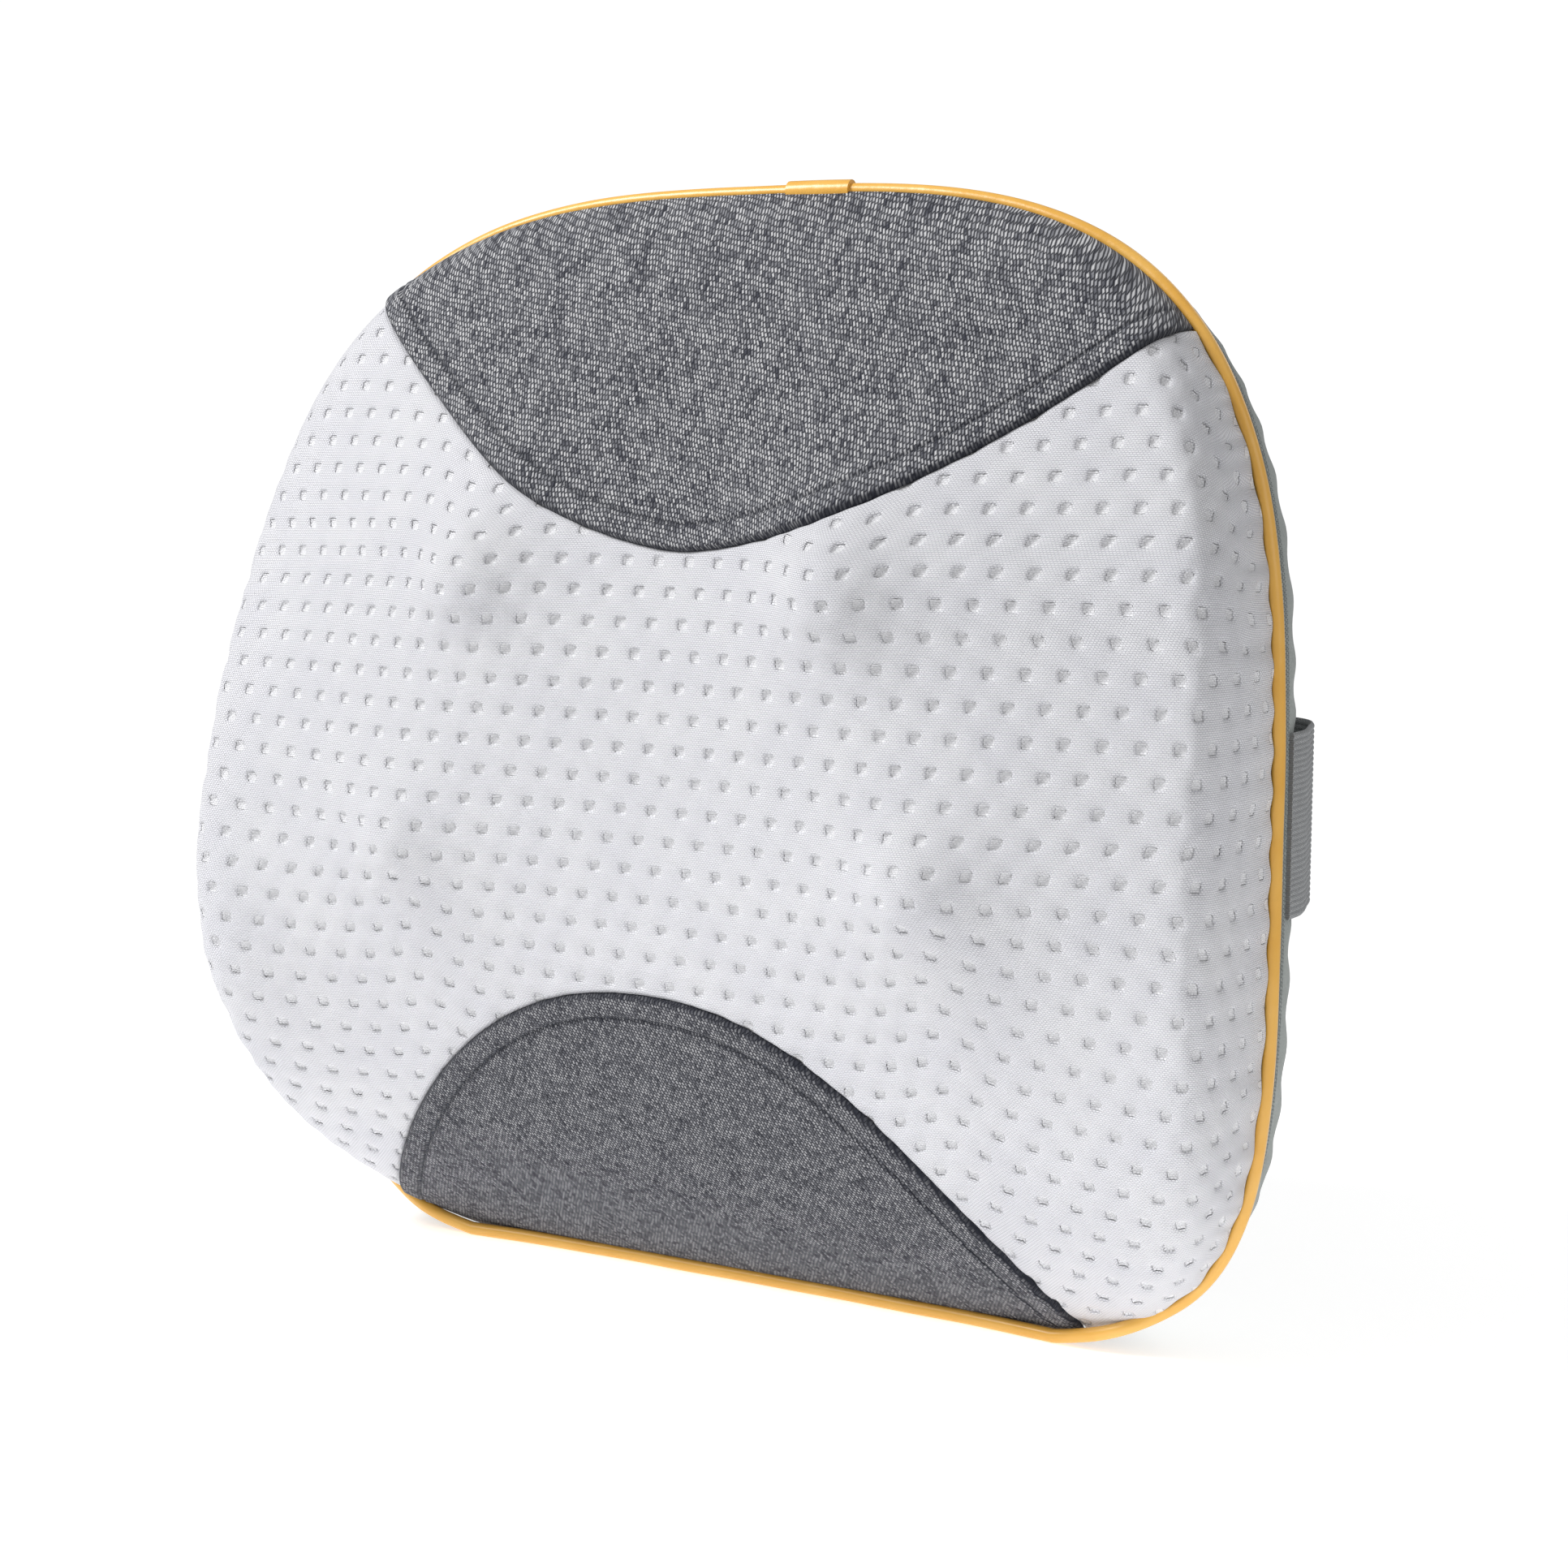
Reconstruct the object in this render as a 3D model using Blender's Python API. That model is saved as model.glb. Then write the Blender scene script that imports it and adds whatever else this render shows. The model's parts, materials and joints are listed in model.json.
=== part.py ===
"""Kneading lumbar support cushion.

Frame: metres, +X to the right as seen from the front, the front faces -Y, +Z up.
The origin is under the middle of the cushion, which stands on its lower edge.
"""

import math

import bmesh
import bpy
import numpy as np
from mathutils import Vector

# ---------------------------------------------------------------- driving sizes
WIDTH = 0.326
HEIGHT = 0.320
WIDEST_HEIGHT = 0.154  # height at which the outline is widest
UPPER_SQUARENESS = 3.1  # superellipse power of the outline above that height
LOWER_SQUARENESS = 4.5
BASE_CUT = 0.0015  # how much of the rounded lower edge is pressed flat
SEAM_BOW = 0.015  # how far the seam's sides come forward of its middle
SEAM_BOW_POWER = 3.5
LOOP_POINTS = 48
FRONT_RINGS = (0.025, 0.07, 0.16, 0.29, 0.43, 0.60, 0.80)
BACK_RINGS = (0.03, 0.09, 0.19, 0.30, 0.60)  # shares of the way in to the middle
GAP = 0.0003

WALL_DEPTH = 0.035  # side wall, from the seam to the face's ridge
FRONT_REACH = 0.050  # from the seam's sides to the top of the massage bumps
SHOULDER = 0.012  # inward reach of the rounded ridge
FACE_HEIGHT = 0.145  # height at which the face stands furthest forward
FACE_POWER = 3.0
BUMP_SPREAD = 0.026
BACK_DEPTH = 0.052  # from the seam's sides to the flat of the back
BACK_SHOULDER = 0.045  # inward reach of the back's dome at the top and sides
BASE_SHOULDER = 0.008  # the same at the lower edge
BASE_BAND = 0.014  # flat stretch of the back cover that the cushion stands on

COVER_THICKNESS = 0.003
LINER_INSET = 0.0043
LINER_THICKNESS = 0.0008
FRONT_SHELL_INSET = 0.0070
BACK_COVER_INSET = 0.0015
BACK_COVER_THICKNESS = 0.0016
REAR_SHELL_INSET = 0.0040
REAR_SHELL_FLOOR = 0.0032  # height of its lower wall above the surface it stands on
SHELL_THICKNESS = 0.0024

UPPER_SEAM_TIP = (0.133, 0.288)  # where the upper panel's curved seam meets the edge
UPPER_SEAM_LOW = 0.221
UPPER_SEAM_POWER = 1.6
LOWER_SEAM_TIP = (0.118, 0.006)
LOWER_SEAM_HIGH = 0.0945
LOWER_SEAM_POWER = 2.2

PIPING_RADIUS = 0.0020
PIPING_PROUD = 0.0005
TAB_LENGTH = 0.022
TAB_X = 0.019  # right of the middle of the top edge
TAB_THICKNESS = 0.0008
ZIP_TAPE_WIDTH = 0.0035
ZIP_TAPE_THICKNESS = 0.0010
ZIP_TAPE_INSET = 0.0008
ZIP_COIL_RADIUS = 0.0012
ZIP_SLIDER_HEIGHT = 0.130
ZIP_SLIDER_LENGTH = 0.009
ZIP_SLIDER_WIDTH = 0.0080
ZIP_SLIDER_THICKNESS = 0.0012
ZIP_PULL_LENGTH = 0.022
ZIP_PULL_WIDTH = 0.0055
ZIP_PULL_THICKNESS = 0.0008
ZIP_PIN_RADIUS = 0.0005
ZIP_BRIDGE_WIDTH = 0.002
ZIP_FORK_DEPTH = 0.004
ZIP_HINGE_OUT = 0.0015  # from the middle of the slider's plate to the pull's pin
ZIP_HINGE_UP = 0.0015

STRAP_WIDTH = 0.050
STRAP_THICKNESS = 0.0015
STRAP_STAND_OFF = 0.0065
STRAP_HEIGHT = 0.150
STRAP_SIDE_REACH = 0.0245  # how far behind its anchor the strap turns the corner
STRAP_CORNER_RADIUS = 0.014

ARM_X = 0.0713
ARM_Z = 0.184
ARM_TILT = 19.4  # degrees from upright, upper heads inward
ARM_RADIUS = 0.0384
ARM_THICKNESS = 0.007
ARM_HUB_RADIUS = 0.011
ARM_END_RADIUS = 0.0085
HEAD_CLEARANCE = 0.0145  # from the top of a head to the outside of the bump over it
HEAD_RADIUS = 0.017
HEAD_HEIGHT = 0.022
HEAD_BORE = 0.0042
AXLE_GAP = 0.0003
ARM_SHAFT_RADIUS = 0.004
BUSH_WALL = 0.0015

TOOTH_MODULE = 0.00175
WHEEL_TEETH = 24
WHEEL_WIDTH = 0.009
WORM_PITCH_RADIUS = 0.006
WORM_LENGTH = 0.017
TOOTH_BACKLASH = 0.0005
MOTOR_RADIUS = 0.018
MOTOR_LENGTH = 0.058
MOTOR_SHAFT_RADIUS = 0.0025
CASE_WALL = 0.0015
CASE_RIM = 0.004
CASE_FLOOR_GAP = 0.0015
BAY_SPARE = 0.020  # how far the worm tunnel's bay runs past the wheels' axes, in all
BRACKET_THICKNESS = 0.002
COVER_PLATE = 0.003

SCREW_RADIUS = 0.0015
SCREW_HEAD_RADIUS = 0.0028
SCREW_HEAD_HEIGHT = 0.0016
POST_RADIUS = 0.0045
BOSS_RADIUS = 0.006
BOSS_FLOOR = 0.003  # under each shell screw's head

BUTTON_HEIGHT = 0.205
BUTTON_RADIUS = 0.0075
BUTTON_TRAVEL = 0.0015
SOCKET_HEIGHT = 0.100
SOCKET_RADIUS = 0.0055
SOCKET_BORE = 0.0029
SOCKET_DEPTH = 0.010
SIDE_FITTING_INSET = 0.006  # how far in from the outline the side fittings sit
BOARD_SIZE = (0.070, 0.042)
BOARD_THICKNESS = 0.0016
BOARD_CENTRE = (-0.060, 0.085)
BOARD_STAND_OFF = 0.006
BOARD_POST_RADIUS = 0.0035

# ------------------------------------------------------------ sizes that follow
# The depth is centred on the origin, with the strap as its rearmost piece.
SEAM_SIDE_Y = (FRONT_REACH - BACK_DEPTH - STRAP_STAND_OFF - STRAP_THICKNESS) / 2
SEAM_MIDDLE_Y = SEAM_SIDE_Y + SEAM_BOW
FACE_Y = SEAM_SIDE_Y - WALL_DEPTH
BACK_Y = SEAM_SIDE_Y + BACK_DEPTH
BUMP_HEIGHT = FRONT_REACH - WALL_DEPTH
ZIP_START = 2 * GAP + 2 * PIPING_RADIUS  # distances behind the seam line
COIL_CENTRE = ZIP_START + ZIP_TAPE_WIDTH + GAP + ZIP_COIL_RADIUS
REAR_TAPE_START = COIL_CENTRE + ZIP_COIL_RADIUS + GAP
REAR_RIM = REAR_TAPE_START + ZIP_TAPE_WIDTH + GAP
WHEEL_PITCH_RADIUS = TOOTH_MODULE * WHEEL_TEETH / 2
SHELL_INNER_Y = BACK_Y - REAR_SHELL_INSET - SHELL_THICKNESS
BRACKET_Y = SHELL_INNER_Y - GAP - BRACKET_THICKNESS
CASE_REAR_Y = BRACKET_Y - GAP
MOTOR_Y = CASE_REAR_Y - CASE_WALL - GAP - MOTOR_RADIUS
MOTOR_Z = ARM_Z - WHEEL_PITCH_RADIUS - WORM_PITCH_RADIUS
CASE_FRONT_Y = MOTOR_Y - MOTOR_RADIUS - GAP
COVER_REAR_Y = CASE_FRONT_Y - GAP
COVER_FRONT_Y = COVER_REAR_Y - COVER_PLATE
WHEEL_TIP_RADIUS = WHEEL_PITCH_RADIUS + TOOTH_MODULE
CASE_CUP_RADIUS = WHEEL_TIP_RADIUS + 2 * GAP + CASE_RIM
HEAD_TOP_Y = SEAM_SIDE_Y - FRONT_REACH + HEAD_CLEARANCE
HEAD_BACK_Y = HEAD_TOP_Y + HEAD_HEIGHT
ARM_FRONT_Y = HEAD_BACK_Y + AXLE_GAP
ARM_BACK_Y = ARM_FRONT_Y + ARM_THICKNESS
HEAD_AXLE_RADIUS = HEAD_BORE - AXLE_GAP
HEAD_RECESS = 0.009


# --------------------------------------------------------------------- outline
def outline_half_sizes(z, inset):
    """Half width, half height and power of the outline on z's side of its widest line."""
    if z >= WIDEST_HEIGHT:
        return WIDTH / 2 - inset, HEIGHT - WIDEST_HEIGHT - inset, UPPER_SQUARENESS
    return WIDTH / 2 - inset, WIDEST_HEIGHT + BASE_CUT - inset, LOWER_SQUARENESS


def outline(inset, floor):
    """Evenly spaced (x, z) points round the cushion, anticlockwise from its right side."""
    dense = []
    for angle in np.linspace(0, 2 * math.pi, 2880, endpoint=False):
        side = 1 if math.sin(angle) >= 0 else -1
        half_width, half_height, power = outline_half_sizes(WIDEST_HEIGHT + side, inset)
        reach = abs(math.cos(angle)) ** (2 / power)
        rise = abs(math.sin(angle)) ** (2 / power)
        x = math.copysign(half_width * reach, math.cos(angle))
        dense.append((x, WIDEST_HEIGHT + side * half_height * rise))
    dense = np.array(dense + dense[:1])
    lengths = np.concatenate([[0], np.cumsum(np.hypot(*np.diff(dense, axis=0).T))])
    marks = np.linspace(0, lengths[-1], LOOP_POINTS, endpoint=False)
    xs = np.interp(marks, lengths, dense[:, 0])
    zs = np.interp(marks, lengths, dense[:, 1])
    return [(x, max(z, floor)) for x, z in zip(xs, zs)]


def outline_ratio(x, z, inset):
    """0 at the middle of the outline and 1 on it."""
    half_width, half_height, power = outline_half_sizes(z, inset)
    across = (abs(x) / half_width) ** power
    up = (abs(z - WIDEST_HEIGHT) / half_height) ** power
    return (across + up) ** (1 / power)


def seam_y(x):
    """The seam runs back from its forward sides to the middle of its top and bottom."""
    share = min(abs(x) / (WIDTH / 2), 1)
    return SEAM_SIDE_Y + SEAM_BOW * (1 - share**SEAM_BOW_POWER)


def rounded(share):
    """Quarter-circle rise from 0 to 1."""
    return math.sqrt(max(0, 1 - (1 - min(share, 1)) ** 2))


def edge_distance(x, z, inset):
    """How far inward of the outline a point lies along its ray, and that ray's x on it."""
    ratio = outline_ratio(x, z, inset)
    if ratio < 1e-3:
        return WIDTH, 0
    from_middle = math.hypot(x, z - WIDEST_HEIGHT)
    return max(0, (1 / ratio - 1) * from_middle), x / ratio


def bump(x, z):
    """The ring that the pair of heads on each side sweeps, as a raised ridge."""
    distance = math.hypot(abs(x) - ARM_X, z - ARM_Z) - ARM_RADIUS
    return BUMP_HEIGHT * math.exp(-((distance / BUMP_SPREAD) ** 2))


def face_y(x, z):
    reach = HEIGHT - FACE_HEIGHT if z > FACE_HEIGHT else FACE_HEIGHT
    share = min(abs(z - FACE_HEIGHT) / reach, 1) ** FACE_POWER
    return SEAM_MIDDLE_Y + (FACE_Y - SEAM_MIDDLE_Y) * (1 - share)


def front_y(x, z, inset):
    distance, edge_x = edge_distance(x, z, inset)
    start = seam_y(edge_x)
    return start + (face_y(x, z) + inset - start) * rounded(distance / SHOULDER)


def cover_y(x, z, inset):
    """The same with the massage bumps, which flatten out towards the edge."""
    distance, _ = edge_distance(x, z, inset)
    return front_y(x, z, inset) - bump(x, z) * rounded(distance / SHOULDER)


def down_share(x, z):
    """1 straight below the middle, 0 level with it or above."""
    return max(0, WIDEST_HEIGHT - z) / max(math.hypot(x, z - WIDEST_HEIGHT), 1e-6)


def back_band(x, z):
    return BASE_BAND * down_share(x, z) ** 4


def back_y(x, z, inset):
    distance, edge_x = edge_distance(x, z, inset)
    start = seam_y(edge_x) + REAR_RIM + back_band(x, z)
    reach = BACK_SHOULDER + (BASE_SHOULDER - BACK_SHOULDER) * down_share(x, z) ** 2
    return start + (BACK_Y - inset - start) * rounded(distance / reach)


# --------------------------------------------------------------------- helpers
def clear_scene():
    for item in list(bpy.data.objects):
        bpy.data.objects.remove(item, do_unlink=True)


def make_material(name, colour, roughness, metallic=0.0):
    made = bpy.data.materials.new(name)
    made.use_nodes = True
    shader = made.node_tree.nodes["Principled BSDF"]
    shader.inputs["Base Color"].default_value = (*colour, 1)
    shader.inputs["Roughness"].default_value = roughness
    shader.inputs["Metallic"].default_value = metallic
    made.diffuse_color = (*colour, 1)
    return made


def add_object(name, bm, finish, parent=None, crease=30):
    """A bmesh becomes a named object, smooth except at edges sharper than crease degrees."""
    bmesh.ops.recalc_face_normals(bm, faces=bm.faces)
    mesh = bpy.data.meshes.new(name)
    bm.to_mesh(mesh)
    bm.free()
    mesh.shade_smooth()
    mesh.set_sharp_from_angle(angle=math.radians(crease))
    made = bpy.data.objects.new(name, mesh)
    bpy.context.scene.collection.objects.link(made)
    if finish:
        made.data.materials.append(make_material(name, *finish))
    if parent:
        made.parent = parent
    return made


def add_empty(name, place):
    made = bpy.data.objects.new(name, None)
    made.location = place
    bpy.context.scene.collection.objects.link(made)
    return made


def cut(target, cutter, operation="DIFFERENCE", solver="EXACT"):
    """Boolean with a helper object that stays out of the build."""
    cutter.hide_render = True
    cutter.display_type = "WIRE"
    step = target.modifiers.new(f"{operation.lower()} {cutter.name}", "BOOLEAN")
    step.operation = operation
    step.solver = solver
    step.object = cutter


def join_rings(bm, first, second):
    count = len(first)
    for i in range(count):
        j = (i + 1) % count
        bm.faces.new((first[i], first[j], second[j], second[i]))


def ring_of(bm, points):
    return [bm.verts.new(point) for point in points]


def skin(name, finish, depth, rim, inset, thickness, floor, rings, hole=None, lip_inset=None):
    """A curved wall over the outline: two nested surfaces, joined at the rim and the hole.

    rings are shares of the way from the outline to the middle, or to the hole's outline.
    The wall starts at the rim's depth; a lip before it starts on the seam at lip_inset.
    """
    bm = bmesh.new()
    sheets = []
    for level in (inset, inset + thickness):
        edge = outline(level, floor + level - inset)
        loops = []
        if lip_inset:
            lip_level = lip_inset + level - inset
            lip = outline(lip_level, lip_level)
            loops.append(ring_of(bm, [(x, seam_y(x) + GAP, z) for x, z in lip]))
        for step in (0, 1):
            points = [(x, rim(x, z, step), z) for x, z in edge]
            if step == 0 or rim(0, 0, 0) != rim(0, 0, 1):
                loops.append(ring_of(bm, points))
        for share in rings:
            points = []
            for i, (x, z) in enumerate(edge):
                goal = hole[i] if hole else (0, WIDEST_HEIGHT)
                px = x + (goal[0] - x) * share
                pz = z + (goal[1] - z) * share
                points.append((px, depth(px, pz, level), pz))
            loops.append(ring_of(bm, points))
        for first, second in zip(loops, loops[1:]):
            join_rings(bm, first, second)
        if not hole:
            middle = bm.verts.new((0, depth(0, WIDEST_HEIGHT, level), WIDEST_HEIGHT))
            last = loops[-1]
            for i, vert in enumerate(last):
                bm.faces.new((vert, last[(i + 1) % len(last)], middle))
        sheets.append(loops)
    join_rings(bm, sheets[0][0], sheets[1][0])
    if hole:
        join_rings(bm, sheets[0][-1], sheets[1][-1])
    return add_object(name, bm, finish)


def turned(name, profile, finish, place, axis, steps=24, parent=None, crease=30):
    """Spins a closed (radius, along) profile round an axis through place."""
    bm = bmesh.new()
    verts = [bm.verts.new((radius, 0, along)) for radius, along in profile]
    edges = [bm.edges.new((a, b)) for a, b in zip(verts, verts[1:])]
    if profile[0][0] > 0 or profile[-1][0] > 0:
        edges.append(bm.edges.new((verts[-1], verts[0])))
    bmesh.ops.spin(
        bm, geom=verts + edges, cent=(0, 0, 0), axis=(0, 0, 1),
        angle=2 * math.pi, steps=steps, use_merge=True,
    )
    bmesh.ops.remove_doubles(bm, verts=bm.verts, dist=1e-6)
    turn = Vector((0, 0, 1)).rotation_difference(Vector(axis)).to_matrix().to_4x4()
    bmesh.ops.transform(bm, matrix=turn, verts=bm.verts)
    made = add_object(name, bm, finish, parent, crease)
    made.location = place
    return made


def prism(name, outline_points, low, high, finish=None, parent=None):
    """An (x, z) outline extruded along Y from low to high."""
    bm = bmesh.new()
    front = ring_of(bm, [(x, low, z) for x, z in outline_points])
    face = bm.faces.new(front)
    swept = bmesh.ops.extrude_face_region(bm, geom=[face])
    moved = [item for item in swept["geom"] if isinstance(item, bmesh.types.BMVert)]
    bmesh.ops.translate(bm, vec=(0, high - low, 0), verts=moved)
    return add_object(name, bm, finish, parent)


def box(name, centre, size, finish=None, parent=None, bevel=0):
    bm = bmesh.new()
    bmesh.ops.create_cube(bm, size=1)
    bmesh.ops.scale(bm, vec=size, verts=bm.verts)
    if bevel:
        bmesh.ops.bevel(
            bm, geom=bm.edges[:], offset=bevel, segments=1, affect="EDGES", profile=0.5,
        )
    made = add_object(name, bm, finish, parent)
    made.location = centre
    return made


def rod(name, radius, low, high, place, axis, finish=None, parent=None, steps=12):
    profile = [(0, low), (radius, low), (radius, high), (0, high)]
    return turned(name, profile, finish, place, axis, steps, parent)


def loop_tube(name, points, radius, resolution, finish):
    """A round cord that closes on itself."""
    curve = bpy.data.curves.new(name, "CURVE")
    curve.dimensions = "3D"
    curve.bevel_depth = radius
    curve.bevel_resolution = resolution
    spline = curve.splines.new("POLY")
    spline.points.add(len(points) - 1)
    for knot, point in zip(spline.points, points):
        knot.co = (*point, 1)
    spline.use_cyclic_u = True
    made = bpy.data.objects.new(name, curve)
    bpy.context.scene.collection.objects.link(made)
    curve.materials.append(make_material(name, *finish))
    return made


# ------------------------------------------------------------------- the cover
def seam_points(tip, middle, power, spread):
    """The curved seam of a grey panel, from its left tip to its right one."""
    count = 24
    points = []
    for i in range(-count // 2, count // 2 + 1):
        x = tip[0] * 2 * i / count
        share = (abs(x) / tip[0]) ** power
        points.append((x, middle + (tip[1] - middle) * share + spread))
    return points


def panel_prism(name, upper, spread):
    """The region of a grey panel as seen from the front, grown or shrunk by spread."""
    far = WIDTH
    if upper:
        seam = seam_points(UPPER_SEAM_TIP, UPPER_SEAM_LOW, UPPER_SEAM_POWER, -spread)
        tip_slope = 0.8
        ends = [(far, seam[-1][1] + tip_slope * (far - seam[-1][0])), (0, 2 * HEIGHT)]
        ends.append((-far, ends[0][1]))
    else:
        seam = seam_points(LOWER_SEAM_TIP, LOWER_SEAM_HIGH, LOWER_SEAM_POWER, spread)
        ends = [(far, -HEIGHT), (-far, -HEIGHT)]
    return prism(name, seam + ends, -WIDTH, WIDTH)


def front_rim(x, z, step):
    return seam_y(x)


def back_rim(x, z, step):
    """Step 1 is past the flat band that the cushion stands on."""
    return seam_y(x) + REAR_RIM + step * back_band(x, z)


def front_skin(name, finish, inset, thickness):
    return skin(name, finish, cover_y, front_rim, inset, thickness, inset, FRONT_RINGS)


def make_front_cover():
    mesh_panel = front_skin("front_mesh_panel", ((0.80, 0.80, 0.84), 0.9), 0, COVER_THICKNESS)
    cut(mesh_panel, panel_prism("upper region grown", True, GAP / 2))
    cut(mesh_panel, panel_prism("lower region grown", False, GAP / 2))
    upper = front_skin("upper_grey_panel", ((0.21, 0.21, 0.23), 0.95), 0, COVER_THICKNESS)
    cut(upper, panel_prism("upper region", True, -GAP / 2), "INTERSECT")
    lower = front_skin("lower_grey_panel", ((0.18, 0.18, 0.20), 0.95), 0, COVER_THICKNESS)
    cut(lower, panel_prism("lower region", False, -GAP / 2), "INTERSECT")


def make_liner():
    front_skin("inner_liner", ((0.03, 0.03, 0.035), 0.9), LINER_INSET, LINER_THICKNESS)


def make_back_cover():
    made = skin(
        "back_cover", ((0.29, 0.31, 0.305), 0.95), back_y, back_rim,
        BACK_COVER_INSET, BACK_COVER_THICKNESS, 0, BACK_RINGS,
    )
    for height, radius in side_fittings():
        place, axis = side_fitting_place(height)
        cut(made, rod(f"cover hole {height}", radius + GAP, -0.02, 0.02, place, axis, steps=24))


def make_piping():
    loop = outline(-PIPING_PROUD, PIPING_RADIUS)
    behind = GAP + PIPING_RADIUS
    points = [(x, seam_y(x) + behind, z) for x, z in loop]
    loop_tube("piping", points, PIPING_RADIUS, 2, ((0.83, 0.46, 0.08), 0.35))
    # The overlap tab wraps the join in the top edge.
    inner = PIPING_RADIUS + GAP
    outer = inner + TAB_THICKNESS
    arc = [math.radians(a) for a in range(10, 171, 20)]
    ring = [(outer * math.cos(a), outer * math.sin(a)) for a in arc]
    ring += [(inner * math.cos(a), inner * math.sin(a)) for a in reversed(arc)]
    bm = bmesh.new()
    face = bm.faces.new(ring_of(bm, [(-TAB_LENGTH / 2, y, z) for y, z in ring]))
    swept = bmesh.ops.extrude_face_region(bm, geom=[face])
    moved = [item for item in swept["geom"] if isinstance(item, bmesh.types.BMVert)]
    bmesh.ops.translate(bm, vec=(TAB_LENGTH, 0, 0), verts=moved)
    tab = add_object("piping_joint_tab", bm, ((0.83, 0.46, 0.08), 0.35))
    tab.location = (TAB_X, seam_y(TAB_X) + behind, HEIGHT + PIPING_PROUD)


def make_zip():
    for name, start in (("front_zip_tape", ZIP_START), ("rear_zip_tape", REAR_TAPE_START)):
        bm = bmesh.new()
        loops = []
        outer = outline(ZIP_TAPE_INSET, ZIP_TAPE_INSET)
        inner = outline(ZIP_TAPE_INSET + ZIP_TAPE_THICKNESS, ZIP_TAPE_INSET + ZIP_TAPE_THICKNESS)
        end = start + ZIP_TAPE_WIDTH
        for edge, behind in ((outer, start), (outer, end), (inner, end), (inner, start)):
            loops.append(ring_of(bm, [(x, seam_y(x) + behind, z) for x, z in edge]))
        for first, second in zip(loops, loops[1:] + loops[:1]):
            join_rings(bm, first, second)
        add_object(name, bm, ((0.27, 0.29, 0.285), 0.9))
    coil = outline(ZIP_TAPE_INSET + ZIP_TAPE_THICKNESS / 2, ZIP_TAPE_INSET + ZIP_COIL_RADIUS)
    points = [(x, seam_y(x) + COIL_CENTRE, z) for x, z in coil]
    loop_tube("zip_coil", points, ZIP_COIL_RADIUS, 1, ((0.20, 0.21, 0.21), 0.5))


def make_zip_slider():
    """The slider rides outside the coil on the left side; its pull hangs from a bridge."""
    finish = ((0.45, 0.46, 0.46), 0.35, 1.0)
    edge_x = -WIDTH / 2 + ZIP_TAPE_INSET + ZIP_TAPE_THICKNESS / 2
    plate_x = edge_x - ZIP_COIL_RADIUS - GAP - ZIP_SLIDER_THICKNESS / 2
    centre_y = SEAM_SIDE_Y + COIL_CENTRE
    body = box(
        "zip_slider", (plate_x, centre_y, ZIP_SLIDER_HEIGHT),
        (ZIP_SLIDER_THICKNESS, ZIP_SLIDER_WIDTH, ZIP_SLIDER_LENGTH), finish, bevel=GAP,
    )
    bridge = box(
        "slider bridge", (-ZIP_HINGE_OUT, 0, ZIP_SLIDER_LENGTH / 4),
        (1.8 * ZIP_SLIDER_THICKNESS, ZIP_BRIDGE_WIDTH, ZIP_SLIDER_LENGTH / 2), None, body,
    )
    cut(body, bridge, "UNION")
    eye = rod(
        "slider eye", ZIP_PIN_RADIUS + GAP, -ZIP_PULL_WIDTH, ZIP_PULL_WIDTH,
        (-ZIP_HINGE_OUT, 0, ZIP_HINGE_UP), (0, 1, 0), None, body,
    )
    cut(body, eye)
    hinge = add_empty(
        "zip pull hinge", (plate_x - ZIP_HINGE_OUT, centre_y, ZIP_SLIDER_HEIGHT + ZIP_HINGE_UP),
    )
    # The pull is a fork whose pin crosses between its two tines at the hinge.
    axis_z = ZIP_PULL_LENGTH / 2 - ZIP_PULL_THICKNESS / 2
    pull = box(
        "zip_pull", (0, 0, -axis_z), (ZIP_PULL_THICKNESS, ZIP_PULL_WIDTH, ZIP_PULL_LENGTH),
        finish, hinge,
    )
    fork_width = ZIP_BRIDGE_WIDTH + 2 * GAP
    fork = box(
        "pull fork", (0, 0, axis_z - ZIP_FORK_DEPTH / 2 + ZIP_PULL_THICKNESS),
        (2 * ZIP_PULL_THICKNESS, fork_width, ZIP_FORK_DEPTH + 2 * ZIP_PULL_THICKNESS), None, pull,
    )
    cut(pull, fork)
    pin_reach = fork_width / 2 + ZIP_PIN_RADIUS
    pin = rod(
        "pull pin", ZIP_PIN_RADIUS - GAP / 3, -pin_reach, pin_reach,
        (0, 0, axis_z), (0, 1, 0), None, pull, 8,
    )
    cut(pull, pin, "UNION")


def strap_route(offset):
    """Plan view of the strap, from its left seam round the back to its right seam."""
    anchor_y = SEAM_SIDE_Y + REAR_RIM
    side_x = WIDTH / 2 - 0.0015 + offset
    back = BACK_Y + STRAP_STAND_OFF + offset
    corner_y = anchor_y + STRAP_SIDE_REACH
    radius = STRAP_CORNER_RADIUS + offset
    bend = (side_x - 0.003 - radius, corner_y - 0.001)
    flat_x = 0.085
    points = [(side_x, anchor_y + 0.001), (side_x + 0.0008, anchor_y + 0.010)]
    slope = math.atan2(back - (bend[1] + radius * 0.7), bend[0] - flat_x)
    steps = 5
    for i in range(steps + 1):
        turn = (math.pi / 2 - slope) * i / steps
        points.append((bend[0] + radius * math.cos(turn), bend[1] + radius * math.sin(turn)))
    points.append((flat_x, back))
    right = points
    return [(-x, y) for x, y in right] + [(x, y) for x, y in reversed(right)]


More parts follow.
